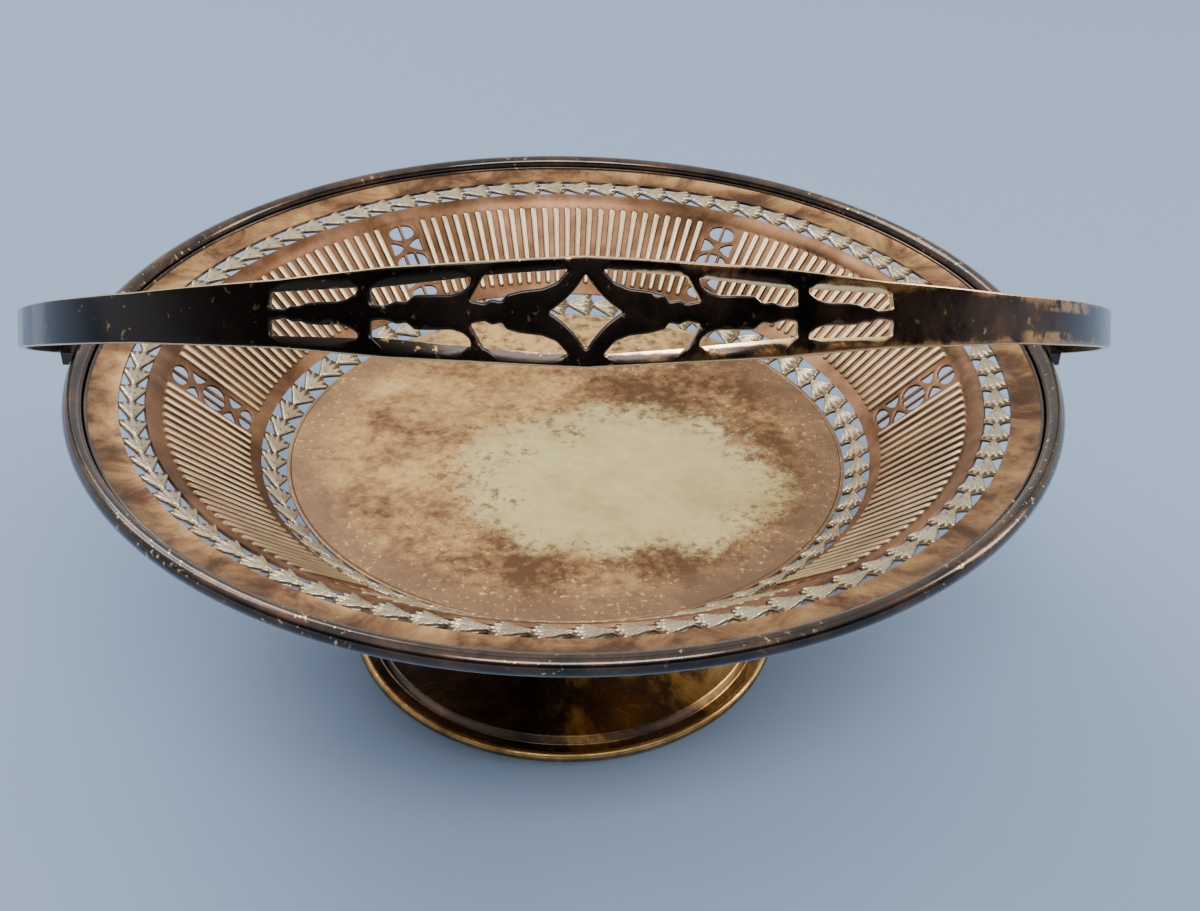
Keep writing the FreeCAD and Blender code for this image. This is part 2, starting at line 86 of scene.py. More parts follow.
Z_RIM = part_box("rim_moulding")[1].z - BEAD_RADIUS

# Ribs and pierced strips of the wall
STRIPS = 6
RIBS_PER_PANEL = 26
FIRST_RIB = math.radians(4.45)
RIB_INNER_WIDTH = 1.75 * MM
RIB_OUTER_WIDTH = 2.25 * MM
RIB_HEIGHT = 0.8 * MM
STRIP_HALF_WIDTH = 5.2 * MM
STRIP_SMALL_HALF_WIDTH = 4.3 * MM
STRIP_MARGIN = 0.8 * MM
STRIP_BAR = 0.9 * MM
STRIP_WEB = 1.1 * MM

# Leaf galleries
INNER_LEAVES = 60
OUTER_LEAVES = 84
LEAF_LAND = 0.85 * MM
LEAF_RELIEF = 0.62 * MM
LEAF_SINK = 0.12 * MM
LEAF_METAL = 0.85 * MM

# Pedestal foot
FOOT_WIRE_RADIUS = 1.5 * MM
FOOT_METAL = 1.3 * MM
R_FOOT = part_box("foot_ring")[1].x
R_STEM = 17.0 * MM
FOOT_LIP = 3.4 * MM
FOOT_STEP_WIDTH = 1.8 * MM
FOOT_STEP_RISE = 2.2 * MM
FOOT_TOE_SLOPE = math.radians(14.0)
FOOT_TOE_PULL = 22.0 * MM
FOOT_STEM_PULL = 20.0 * MM
FOOT_NECK_RISE = 5.0 * MM
FOOT_FLARE_RISE = 8.2 * MM
FOOT_FLARE_WIDTH = 7.0 * MM

# Handle: the joint's axis height, the bow's reach and the strap's widths against the angle from the crown
PIVOT_HEIGHT = frame["joints"][0]["pos_m"][2]
STRAP_METAL = 1.5 * MM
HALF_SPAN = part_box("handle_strap")[1].x - STRAP_METAL / 2
CROWN_REACH = R_RIM
BOW_ROUNDNESS = 2.2
REST_ANGLE = math.radians(31.0)
STRAP_ANGLES = (0.0, 15.5, 24.4, 39.0, 69.0, 90.0)
STRAP_WIDTHS = (19.9 * MM, 16.2 * MM, 12.5 * MM, 9.7 * MM, 8.5 * MM, 8.5 * MM)
PIN_RADIUS = 1.6 * MM
PIN_GAP = 0.06 * MM
HEAD_GAP = 0.3 * MM
STRAP_EDGE_RADIUS = 0.40 * MM


# Meshes

def new_object(name, data):
    """A new object of the scene."""
    made = bpy.data.objects.new(name, data)
    bpy.context.scene.collection.objects.link(made)
    return made


def make_piece(name, node, points, faces, finish, values=None, sharp=35.0, body="basket"):
    """A piece of the object: its mesh, its finish, the body it rides on and the node it stands for."""
    mesh = bpy.data.meshes.new(name)
    mesh.from_pydata(np.asarray(points).tolist(), [], faces)
    mesh.update()
    mesh.shade_smooth()
    mesh.set_sharp_from_angle(angle=math.radians(sharp))
    for key, data in (values or {}).items():
        mesh.attributes.new(key, "FLOAT", "POINT").data.foreach_set("value", np.asarray(data, np.float32))
    mesh.materials.append(FINISHES[finish])
    piece = new_object(name, mesh)
    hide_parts(node)
    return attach(piece, body)


def rounded(corners, radius, steps=4, closed=True):
    """A polyline with each corner replaced by a short curve that starts about radius before it."""
    corners = np.asarray(corners, float)
    n = len(corners)
    out = []
    for k in range(n):
        here = corners[k]
        if not closed and k in (0, n - 1):
            out.append(here)
            continue
        before = corners[k - 1] - here
        after = corners[(k + 1) % n] - here
        size_before = np.linalg.norm(before)
        size_after = np.linalg.norm(after)
        a = here + before / size_before * min(radius, 0.45 * size_before)
        b = here + after / size_after * min(radius, 0.45 * size_after)
        for t in np.linspace(0.0, 1.0, steps + 1):
            out.append((1 - t) ** 2 * a + 2 * t * (1 - t) * here + t ** 2 * b)
    return np.array(out)


def arc_points(centre, radius, start, end, steps):
    """Points of an arc in the profile plane, from start to end in degrees."""
    turn = np.radians(np.linspace(start, end, steps + 1))
    return np.column_stack([centre[0] + radius * np.cos(turn), centre[1] + radius * np.sin(turn)])


def bent(a, b, bulge, steps=6):
    """Points from a to b on a shallow curve whose middle stands off the chord by bulge, to its left."""
    a = np.asarray(a, float)
    b = np.asarray(b, float)
    side = np.array([-(b - a)[1], (b - a)[0]])
    side /= np.linalg.norm(side)
    t = np.linspace(0.0, 1.0, steps + 1)[:, None]
    return a + (b - a) * t + side * bulge * 4.0 * t * (1.0 - t)


def lathe(profile, segments=288):
    """Points and faces of a closed profile turned about the Z axis; points on the axis are one point."""
    profile = np.asarray(profile, float)
    turn = math.tau * np.arange(segments) / segments
    points = []
    rings = []
    for r, z in profile:
        if r < 1e-7:
            rings.append(np.full(segments, len(points)))
            points.append((0.0, 0.0, z))
        else:
            rings.append(np.arange(segments) + len(points))
            points.extend(zip(r * np.cos(turn), r * np.sin(turn), np.full(segments, z)))
    faces = []
    for k in range(len(profile)):
        low = rings[k]
        high = rings[(k + 1) % len(profile)]
        for i in range(segments):
            j = (i + 1) % segments
            face = [int(low[i]), int(low[j]), int(high[j]), int(high[i])]
            face = [v for n, v in enumerate(face) if v != face[n - 1]]
            if len(face) > 2:
                faces.append(face)
    return np.array(points), faces


def distance_to(points, loops):
    """Each point's distance to the nearest segment of the closed loops."""
    best = np.full(len(points), 1e9)
    for loop in loops:
        a = np.asarray(loop)
        ab = np.roll(a, -1, axis=0) - a
        length = np.maximum((ab ** 2).sum(1), 1e-18)
        for start in range(0, len(points), 4000):
            p = points[start:start + 4000]
            ap = p[:, None, :] - a[None, :, :]
            t = np.clip((ap * ab).sum(2) / length, 0.0, 1.0)
            gap = np.sqrt(((ap - t[:, :, None] * ab) ** 2).sum(2)).min(1)
            best[start:start + 4000] = np.minimum(best[start:start + 4000], gap)
    return best


def inside(points, loop):
    """Which points lie inside a closed loop."""
    a = np.asarray(loop)
    b = np.roll(a, -1, axis=0)
    x = points[:, 0][:, None]
    y = points[:, 1][:, None]
    crosses = (a[:, 1] > y) != (b[:, 1] > y)
    slope = (b[:, 0] - a[:, 0]) / np.where(b[:, 1] == a[:, 1], 1e-12, b[:, 1] - a[:, 1])
    left = x < slope * (y - a[:, 1]) + a[:, 0]
    return (crosses & left).sum(1) % 2 == 1


def beside(loop, reach, outwards):
    """The loop's points moved sideways by reach, away from the inside if outwards is set."""
    a = np.asarray(loop)
    run = np.roll(a, -1, axis=0) - np.roll(a, 1, axis=0)
    run /= np.maximum(np.linalg.norm(run, axis=1), 1e-12)[:, None]
    side = np.column_stack([run[:, 1], -run[:, 0]])
    area = (a[:, 0] * np.roll(a[:, 1], -1) - np.roll(a[:, 0], -1) * a[:, 1]).sum()
    way = 1.0 if (area > 0) == outwards else -1.0
    return a + side * reach * way


def filled(outline, holes, spacing, bevels=(), free=()):
    """Triangles that fill an outline with holes, on a lattice, with rows of points along each edge at the
    distances in bevels. Returns the points, the triangles and each point's distance from the edges;
    segments of the outline that start at an index in free don't count as edges."""
    loops = [np.asarray(outline)] + [np.asarray(h) for h in holes]
    low = loops[0].min(0)
    high = loops[0].max(0)
    rows = np.arange(low[1], high[1], spacing * 0.866)
    lattice = []
    for k, y in enumerate(rows):
        xs = np.arange(low[0] + (k % 2) * spacing / 2.0, high[0], spacing)
        lattice.append(np.column_stack([xs, np.full(len(xs), y)]))
    lattice = np.vstack(lattice)
    deepest = max(bevels) if bevels else 0.0
    keep = distance_to(lattice, loops) > deepest + 0.45 * spacing
    extra = [lattice[keep]]
    for reach in bevels:
        for k, loop in enumerate(loops):
            row = beside(loop, reach, k > 0)
            extra.append(row[distance_to(row, loops) > 0.9 * reach])
    extra = np.vstack(extra)
    keep = inside(extra, loops[0])
    for hole in loops[1:]:
        keep &= ~inside(extra, hole)
    points = [Vector(p) for p in np.vstack(loops)]
    edges = []
    start = 0
    for loop in loops:
        edges += [(start + k, start + (k + 1) % len(loop)) for k in range(len(loop))]
        start += len(loop)
    points += [Vector(p) for p in extra[keep]]
    found = delaunay_2d_cdt(points, edges, [], 0, 1e-9)
    flat = np.array([tuple(p) for p in found[0]])
    triangles = np.array(found[2])
    middle = flat[triangles].mean(1)
    keep = inside(middle, loops[0])
    for hole in loops[1:]:
        keep &= ~inside(middle, hole)
    triangles = triangles[keep]
    a, b, c = (flat[triangles[:, k]] for k in range(3))
    turn = (b - a)[:, 0] * (c - a)[:, 1] - (b - a)[:, 1] * (c - a)[:, 0]
    triangles = triangles[np.abs(turn) > 1e-16]
    turn = turn[np.abs(turn) > 1e-16]
    triangles[turn < 0] = triangles[turn < 0][:, ::-1]
    counted = loops[1:]
    first = loops[0]
    for k in range(len(first)):
        if k not in free:
            counted.append(np.array([first[k], first[(k + 1) % len(first)]]))
    return flat, triangles, distance_to(flat, counted)


def slab(top, under, triangles):
    """A closed skin: the top triangles, the same ones under them turned over, and walls at the edges."""
    triangles = np.asarray(triangles)
    count = len(top)
    pairs = np.vstack([triangles[:, [0, 1]], triangles[:, [1, 2]], triangles[:, [2, 0]]])
    known = set(map(tuple, pairs.tolist()))
    faces = triangles.tolist() + (triangles[:, ::-1] + count).tolist()
    for a, b in pairs.tolist():
        if (b, a) not in known:
            faces.append([b, a, a + count, b + count])
    return np.vstack([top, under]), faces


def repeated(flat, triangles, values, count, step):
    """A cell's points, triangles and values count times over, step apart along the first coordinate."""
    cells = [flat + (k * step, 0.0) for k in range(count)]
    joined = np.vstack([triangles + k * len(flat) for k in range(count)])
    return np.vstack(cells), joined, {key: np.tile(value, count) for key, value in values.items()}


def merged(flat, triangles, values, turn_length=None, grid=1e-7):
    """Points that coincide made one; along the first coordinate they wrap round at turn_length."""
    key = flat.copy()
    if turn_length:
        key[:, 0] = np.mod(key[:, 0] + grid * 0.5, turn_length)
    key = np.round(key / grid).astype(np.int64)
    if turn_length:
        key[:, 0] %= int(round(turn_length / grid))
    _, first, back = np.unique(key, axis=0, return_index=True, return_inverse=True)
    back = back.reshape(-1)
    triangles = back[np.asarray(triangles)]
    good = (triangles[:, 0] != triangles[:, 1]) & (triangles[:, 1] != triangles[:, 2])
    good &= triangles[:, 0] != triangles[:, 2]
    return flat[first], triangles[good], {k: v[first] for k, v in values.items()}


def rounding(gap, radius):
    """How far a surface drops near an edge that is rounded with this radius."""
    t = np.clip(1.0 - gap / radius, 0.0, 1.0)
    return radius * (1.0 - np.sqrt(1.0 - t ** 2))


# The dish's sheet as a slanted surface

# The edges between its zones, and each zone by the number of its inner edge
RING_R = (R_FLOOR, R_BAND_IN, R_BAND_OUT, R_FLANGE)
RING_Z = (Z_FLOOR_EDGE, Z_BAND_IN, Z_BAND_OUT, Z_FLANGE)
INNER_GALLERY, WALL, OUTER_GALLERY = range(3)


def ripple(x, y, size):
    """A slow unevenness of hand-finished metal, up to about size."""
    wave = np.sin(31.0 * x + 1.3) * np.cos(27.0 * y - 0.4) + np.sin(63.0 * x - 41.0 * y + 2.1)
    wave += 0.6 * np.sin(88.0 * y + 35.0 * x) * np.cos(71.0 * x - 0.7)
    return size * wave / 2.6


def on_dish(r, turn, lift, zone):
    """Points of a zone of the dish, lifted off the sheet along its normal."""
    climb = (RING_Z[zone + 1] - RING_Z[zone]) / (RING_R[zone + 1] - RING_R[zone])
    slope = math.hypot(1.0, climb)
    radius = r - lift * climb / slope
    z = RING_Z[zone] + (r - RING_R[zone]) * climb + lift / slope
    return np.column_stack([radius * np.cos(turn), radius * np.sin(turn), z])


def turned_piece(name, node, profile, finish, uneven=0.0, sharp=35.0):
    """A piece of the basket with one section all the way round, finished by hand to within uneven."""
    points, faces = lathe(profile)
    points[:, 2] += ripple(points[:, 0], points[:, 1], uneven)
    make_piece(name, node, points, faces, finish, None, sharp)


# Finishes

COAT_ROUGHNESS = 0.12
GRAIN_DEPTH = 0.03 * MM
tree = None


def start_tree(owner):
    """Empties a material's or a world's node tree; the functions below add to the tree started last."""
    global tree
    owner.use_nodes = True
    tree = owner.node_tree
    tree.nodes.clear()


def add(kind, inputs=None, **settings):
    node = tree.nodes.new(kind)
    for key, value in settings.items():
        setattr(node, key, value)
    for key, value in (inputs or {}).items():
        socket = node.inputs[key]
        if isinstance(value, bpy.types.NodeSocket):
            tree.links.new(value, socket)
        else:
            socket.default_value = value
    return node


def place():
    return add("ShaderNodeTexCoord").outputs["Object"]


def noise(scale, detail=4.0, rough=0.55, twist=0.0, at=None):
    """Cloudy noise; scale is its lumps per metre."""
    where = at or place()
    inputs = {"Vector": where, "Scale": scale, "Detail": detail, "Roughness": rough, "Distortion": twist}
    return add("ShaderNodeTexNoise", inputs).outputs["Fac"]


def number(operation, a, b=0.0):
    return add("ShaderNodeMath", {0: a, 1: b}, operation=operation).outputs[0]


def times(product, *others):
    for value in others:
        product = number("MULTIPLY", product, value)
    return product


def plus(a, b):
    return number("ADD", a, b)


def spread(value, low, high, to_low=0.0, to_high=1.0):
    """The value's range from low to high turned smoothly into another range."""
    inputs = {"Value": value, "From Min": low, "From Max": high, "To Min": to_low, "To Max": to_high}
    return add("ShaderNodeMapRange", inputs, interpolation_type="SMOOTHSTEP").outputs["Result"]


def between(value, low, high, soft):
    """One where the value is between low and high, falling to nought within soft of each."""
    return times(spread(value, low, low + soft), spread(value, high - soft, high, 1.0, 0.0))


def blended(share, a, b):
    """Two colours mixed, by the share of the second."""
    node = add("ShaderNodeMix", data_type="RGBA")
    for key, value in ((0, share), (6, a), (7, b)):
        if isinstance(value, bpy.types.NodeSocket):
            tree.links.new(value, node.inputs[key])
        else:
            node.inputs[key].default_value = value if key == 0 else (*value, 1.0)
    return node.outputs[2]


def tones(value, stops):
    """Colours that follow a value, from (place, colour) pairs."""
    node = add("ShaderNodeValToRGB", {"Fac": value})
    ramp = node.color_ramp
    while len(ramp.elements) < len(stops):
        ramp.elements.new(0.5)
    for element, (where, colour) in zip(ramp.elements, stops):
        element.position = where
        element.color = (*colour, 1.0)
    return node.outputs["Color"]


def painted(name):
    """A value stored on the mesh's points."""
    return add("ShaderNodeAttribute", attribute_name=name).outputs["Fac"]


def finish_of(name, paint, coat=0.0):
    """A metal finish; paint returns its colour, roughness, height and depth; coat is the tarnish's gloss."""
    material = bpy.data.materials.new(name)
    start_tree(material)
    colour, roughness, height, depth = paint()
    bump = add("ShaderNodeBump", {"Height": height, "Distance": depth, "Strength": 1.0})
    inputs = {"Base Color": colour, "Metallic": 1.0, "Roughness": roughness, "Normal": bump.outputs[0]}
    inputs |= {"Coat Weight": coat, "Coat Roughness": COAT_ROUGHNESS}
    shader = add("ShaderNodeBsdfPrincipled", inputs)
    add("ShaderNodeOutputMaterial", {"Surface": shader.outputs[0]})
    return material


# Tarnish tones, from worn metal to black
CREAM = (0.80, 0.60, 0.31)
SAND = (0.50, 0.31, 0.13)
GOLD = (0.62, 0.34, 0.09)
TAN = (0.31, 0.175, 0.085)
ROSE = (0.225, 0.12, 0.072)
BROWN = (0.135, 0.070, 0.036)
UMBER = (0.060, 0.034, 0.022)
SOOT = (0.014, 0.010, 0.009)


def grain():
    """Fine scratches and pits, as a height."""
    pits = noise(1400.0, 3.0, 0.6)
    inputs = {"Vector": place(), "Scale": (1.0, 14.0, 1.0), "Rotation": (0.0, 0.0, 0.5)}
    wiped = noise(60.0, 5.0, 0.7, 0.3, add("ShaderNodeMapping", inputs).outputs["Vector"])
    return plus(times(pits, 0.5), times(wiped, 0.5))


def metal(colour, cloud, smooth, worn, depth=GRAIN_DEPTH):
    """A paint's colour, its roughness that follows a cloud, and the grain's height and depth."""
    return colour, spread(cloud, 0.3, 0.7, smooth, worn), grain(), depth


def specks(scale, size):
    """Scattered spots, one inside and nought outside."""
    inputs = {"Vector": place(), "Scale": scale}
    cell = add("ShaderNodeTexVoronoi", inputs).outputs["Distance"]
    fine = noise(scale * 2.3, 3.0)
    near = plus(cell, times(fine, 0.25))
    return spread(near, size, size + 0.06, 1.0, 0.0)


def reach_from(x, y, half_x, half_y):
    """How far a place is from an upright oval's middle, one at the oval's edge; sizes in millimetres."""
    centre = (x * MM, y * MM, 0.0)
    size = (half_x * MM, half_y * MM, 1.0)
    moved = add("ShaderNodeVectorMath", {0: place(), 1: centre}, operation="SUBTRACT").outputs[0]
    scaled = add("ShaderNodeVectorMath", {0: moved, 1: size}, operation="DIVIDE").outputs[0]
    level = add("ShaderNodeVectorMath", {0: scaled, 1: (1.0, 1.0, 0.0)}, operation="MULTIPLY")
    return add("ShaderNodeVectorMath", {0: level.outputs[0]}, operation="LENGTH").outputs["Value"]


def floor_paint():
    """The pan: gold-brown mottling round a patch that is worn pale by use, with a painted highlight along
    its far edge.
    """
    ragged = noise(45.0, 10.0, 0.72)
    fine = noise(260.0, 6.0, 0.7)
    edge = plus(times(ragged, 0.9), times(fine, 0.35))
    patch = plus(reach_from(14.0, -15.0, 48.0, 38.0), edge)
    worn = spread(patch, 1.46, 1.66, 1.0, 0.0)
    # Mottling: fine gold on brown at the left, thinning to plain brown at the right and the front
    mottle = noise(300.0, 8.0, 0.70, 0.2)
    cloud = noise(50.0, 6.0, 0.6, 0.3)
    gilded = spread(reach_from(-38.0, 18.0, 42.0, 58.0), 0.55, 1.5, 0.02, -0.07)
    golden = plus(times(plus(mottle, cloud), 0.5), gilded)
    stops = [(0.38, BROWN), (0.46, TAN), (0.53, SAND), (0.59, (0.64, 0.42, 0.17)), (0.68, CREAM)]
    dim = spread(reach_from(0.0, 0.0, 78.0, 78.0), 0.76, 0.95, 0.0, 0.75)
    base = blended(dim, tones(golden, stops), (0.23, 0.145, 0.095))
    sparks = spread(noise(620.0, 4.0, 0.6), 0.58, 0.66)
    glints = times(sparks, spread(cloud, 0.40, 0.6), 0.6)
    base = blended(glints, base, (0.85, 0.62, 0.30))
    # Painted highlight: the pan's far edge (towards +Y) is lightened to bright gold, as if catching the
    # light
    back_edge_highlight = spread(reach_from(0.0, 64.0, 58.0, 20.0), 0.5, 1.15, 1.0, 0.0)
    bright = times(back_edge_highlight, spread(mottle, 0.35, 0.6))
    base = blended(bright, base, (0.82, 0.58, 0.26))
    stops = [(0.3, (0.50, 0.38, 0.16)), (0.48, (0.66, 0.55, 0.27)), (0.7, (0.76, 0.65, 0.36))]
    colour = blended(worn, base, tones(noise(40.0, 8.0, 0.65), stops))
    # Dark specks: three clusters inside the pale patch, and a sprinkling along its edge
    dots = spread(noise(330.0, 7.0, 0.75), 0.50, 0.60)
    for x, y, size in ((1.0, 7.0, 8.0), (-14.0, -3.0, 7.0), (-17.0, -25.0, 8.0)):
        near = spread(plus(reach_from(x, y, size, size), fine), 0.95, 1.5, 0.8, 0.0)
        colour = blended(times(dots, near), colour, BROWN)
    border = times(spread(patch, 1.30, 1.5), spread(patch, 1.6, 1.9, 0.7, 0.0))
    colour = blended(times(dots, border), colour, BROWN)
    return metal(colour, mottle, 0.46, 0.34, 0.04 * MM)


def ring_paint():
    """Plain brown sheet with slow changes of tone; raised parts are rubbed to the silver."""
    cloud = noise(45.0, 7.0, 0.65, 0.3)
    colour = tones(cloud, [(0.30, UMBER), (0.45, BROWN), (0.56, ROSE), (0.68, TAN), (0.82, GOLD)])
    raised = painted("raised")
    rub = plus(raised, times(noise(300.0, 4.0), 0.3))
    silver = tones(noise(30.0, 5.0), [(0.3, (0.44, 0.34, 0.22)), (0.6, (0.70, 0.60, 0.42))])
    colour = blended(spread(rub, 0.5, 0.9), colour, silver)
    return metal(colour, cloud, 0.36, 0.46)


def leaf_paint():
    """Carved leaves: rubbed grey silver on top, dark in the crevices and in the petals' veins."""
    cloud = noise(130.0, 6.0, 0.65)
    stops = [(0.3, (0.38, 0.31, 0.20)), (0.5, (0.56, 0.49, 0.35)), (0.7, (0.74, 0.68, 0.52))]
    shade = plus(painted("raised"), times(noise(500.0, 3.0), 0.16))
    colour = blended(spread(shade, 0.05, 0.55), (0.15, 0.105, 0.065), tones(cloud, stops))
    veins = number("ABSOLUTE", number("SINE", times(painted("aside"), 9.4)))
    cut = spread(veins, 0.05, 0.65, 1.0, 0.0)
    colour = blended(times(cut, 0.72), colour, (0.11, 0.075, 0.045))
    return colour, spread(cloud, 0.3, 0.7, 0.42, 0.28), times(cut, -1.0), 0.1 * MM


def flange_paint():
    """The flat ring inside the rim: tan, with brown and gold stains."""
    cloud = noise(60.0, 8.0, 0.7, 0.5)
    colour = tones(cloud, [(0.30, UMBER), (0.42, BROWN), (0.52, TAN), (0.64, SAND), (0.84, GOLD)])
    spots = times(specks(330.0, 0.12), spread(noise(40.0, 3.0), 0.5, 0.6))
    colour = blended(spots, colour, CREAM)
    return metal(colour, cloud, 0.36, 0.44)


def rim_paint():
    """The edge bead: almost black, with worn specks and a few rubbed stretches."""
    cloud = noise(70.0, 7.0, 0.7, 0.3)
    colour = tones(cloud, [(0.42, SOOT), (0.58, UMBER), (0.72, BROWN), (0.86, TAN)])
    chips = spread(noise(620.0, 4.0, 0.6), 0.60, 0.68)
    some = spread(noise(30.0, 3.0), 0.46, 0.62)
    colour = blended(times(chips, some), colour, CREAM)
    return metal(colour, cloud, 0.12, 0.26, 0.02 * MM)


def foot_paint():
    """The pedestal: glossy dark brown with golden clouds, pushed towards gold on the right as a painted
    highlight.
    """
    along = add("ShaderNodeSeparateXYZ", {0: place()}).outputs[0]
    # Painted highlight: the clouds turn more golden towards the right side (+X)
    cloud = plus(noise(34.0, 8.0, 0.7, 0.6), spread(along, -0.03, 0.04, 0.02, 0.09))
    colour = tones(cloud, [(0.34, SOOT), (0.46, UMBER), (0.56, BROWN), (0.66, GOLD), (0.8, CREAM)])
    return metal(colour, cloud, 0.2, 0.34)


def brass_paint():
    """The foot's edge wire: rubbed to the brass."""
    cloud = noise(90.0, 6.0, 0.7)
    colour = tones(cloud, [(0.3, BROWN), (0.48, (0.36, 0.22, 0.08)), (0.7, (0.62, 0.42, 0.17))])
    return metal(colour, cloud, 0.36, 0.24)


def strap_paint():
    """The bow: black-brown, with golden stains towards the right and edges worn to pale metal; its ends are
    painted silver-grey as reflections.
    """
    along = add("ShaderNodeSeparateXYZ", {0: place()}).outputs[0]
    cloud = noise(60.0, 8.0, 0.72, 0.4)
    fine = noise(300.0, 6.0, 0.7)
    dark = tones(cloud, [(0.45, SOOT), (0.70, (0.022, 0.015, 0.012)), (0.85, UMBER)])
    brown = tones(cloud, [(0.40, SOOT), (0.56, UMBER), (0.72, BROWN), (0.85, ROSE)])
    colour = blended(spread(along, -0.01, 0.05), dark, brown)
    across = painted("across")
    # Golden stains creep in from both edges on the right, and gather in two places near the end
    creep = plus(times(number("ABSOLUTE", across), 0.55), times(cloud, 1.1))
    stain = times(spread(creep, 0.98, 1.12), spread(along, 0.0, 0.05), 0.8)
    colour = blended(stain, colour, (0.42, 0.22, 0.08))
    for start, end, low, high in ((0.086, 0.103, 0.35, 1.2), (0.092, 0.110, -1.2, -0.35)):
        here = between(along, start, end, 0.004)
        here = times(here, between(across, low, high, 0.2), spread(fine, 0.42, 0.55))
        colour = blended(here, colour, (0.60, 0.30, 0.10))
    # Painted reflections: a silver-grey right end, and bands of grey at the left end
    wobble = plus(along, times(fine, 0.002))
    grey = tones(cloud, [(0.35, (0.24, 0.19, 0.10)), (0.6, (0.52, 0.44, 0.25))])
    right_end_reflection = spread(wobble, 0.112, 0.134, 0.0, 0.85)
    left_end_reflection = spread(wobble, -0.1215, -0.1185, 0.8, 0.0)
    reflection_band_start = spread(wobble, -0.1155, -0.1135)
    left_reflection_band = times(reflection_band_start, spread(wobble, -0.111, -0.108, 0.4, 0.0))
    for zone in (right_end_reflection, left_end_reflection, left_reflection_band):
        colour = blended(zone, colour, grey)
    chips = spread(noise(520.0, 4.0, 0.6), 0.63, 0.70)
    colour = blended(times(chips, 0.5), colour, SAND)
    edge = plus(painted("edge"), times(fine, 0.4))
    colour = blended(spread(edge, 0.66, 0.92), colour, CREAM)
    return metal(colour, cloud, 0.15, 0.28)


FINISHES = {
    "floor": finish_of("floor_tarnish_and_highlight", floor_paint),
    "ring": finish_of("ring_tarnish", ring_paint),
    "leaf": finish_of("leaf_tarnish", leaf_paint),
    "flange": finish_of("flange_tarnish", flange_paint),
    "rim": finish_of("rim_tarnish", rim_paint, 0.8),
    "foot": finish_of("foot_tarnish_and_highlight", foot_paint, 0.6),
    "brass": finish_of("edge_brass", brass_paint),
    "strap": finish_of("strap_tarnish_and_reflections", strap_paint, 0.2),
}


# Pieces of the dish

def make_floor():
    """The pan, a little uneven, with a rolled edge."""
    radii = np.linspace(3.0 * MM, R_FLOOR - 1.2 * MM, 44)
    climb = np.maximum(0.0, (radii - FLOOR_RISE_START) / (R_FLOOR - FLOOR_RISE_START)) ** 1.4
    top = np.column_stack([radii, Z_FLOOR + (Z_FLOOR_EDGE - Z_FLOOR) * climb])
    top = np.vstack([(0.0, Z_FLOOR), top])
    edge = rounded([
        (R_FLOOR - 1.0 * MM, Z_FLOOR_EDGE - 0.02 * MM),
        (R_FLOOR, Z_FLOOR_EDGE),
        (R_FLOOR, Z_FLOOR_EDGE - DISH_METAL),
        (R_FLOOR - 1.0 * MM, Z_FLOOR_EDGE - DISH_METAL - 0.02 * MM),
    ], 0.25 * MM)
    profile = np.vstack([top - (0.0, DISH_METAL), edge[::-1], top[::-1]])
    turned_piece("dish_floor_pan", "dish_floor", profile, "floor", 0.10 * MM)


def leaf_outline(width, land, pitch):
    """Half of a leaf cell's edge, from one land to the next, on the side away from the middle."""
    half = width / 2.0
    falling = bent((land, half), (0.735 * pitch, 0.88 * MM), -0.06 * MM, 10)
    notch = np.array([(0.775 * pitch, 0.62 * MM), (0.80 * pitch, 0.80 * MM)])
    rising = bent((0.815 * pitch, 1.15 * MM), (pitch - land, half), -0.30 * MM, 6)
    return np.vstack([[(0.0, half)], falling, notch, rising, [(pitch, half)]])


def petals(pitch, width):
    """Axes of the petals that fan out of each stalk: start, middle, end, half width and height."""
    half = width / 2.0
    # Along the band in shares of the pitch: an outer petal, a middle petal and a barb
    shapes = (
        ((0.80, 0.30 * MM), (0.42, 1.2 * MM), (0.02, half - 0.25 * MM), 0.80 * MM, 0.72),
        ((0.80, 0.15 * MM), (0.36, 0.85 * MM), (-0.075, 0.52 * half), 0.74 * MM, 0.86),
        ((0.50, 0.9 * MM), (0.36, 1.5 * MM), (0.16, half - 0.2 * MM), 0.66 * MM, 0.62),
    )
    rows = []
    for side in (-1.0, 1.0):
        for *axis, half_width, tall in shapes:
            rows.append((*[(x * pitch, side * y) for x, y in axis], half_width, tall))
    root = 0.80 * pitch + 0.4 * MM
    rows.append(((root, 0.0), (0.4 * pitch, 0.0), (-0.155 * pitch, 0.0), 0.86 * MM, 1.0))
    return rows


def leaf_relief(flat, pitch, width):
    """The carved leaves over a cell: their height, as a share of the whole relief, and how far each point is
    from its petal's middle, as a share of the petal's half width."""
    height = np.zeros(len(flat))
    aside = np.ones(len(flat))
    for shift in (0.0, pitch):
        for start, middle, end, half_width, tall in petals(pitch, width):
            t = np.linspace(0.0, 1.0, 25)[:, None]
            poles = np.array([start, middle, end])
            axis = (1 - t) ** 2 * poles[0] + 2 * t * (1 - t) * poles[1] + t ** 2 * poles[2]
            axis[:, 0] += shift
            gaps = np.linalg.norm(flat[:, None, :] - axis[None, :, :], axis=2)
            nearest = gaps.argmin(1)
            share = t[nearest, 0]
            taper = np.sin(math.pi * np.clip(share, 0.04, 0.97) ** 1.35)
            swell = half_width * np.maximum(taper, 0.12) ** 0.7
            off = gaps[np.arange(len(flat)), nearest] / swell
            body = tall * np.sqrt(np.clip(1.0 - off ** 2, 0.0, 1.0))
            wins = (off < 1.0) & (body > height)
            height = np.where(wins, body, height)
            aside = np.where(wins, off, aside)
    return height, aside


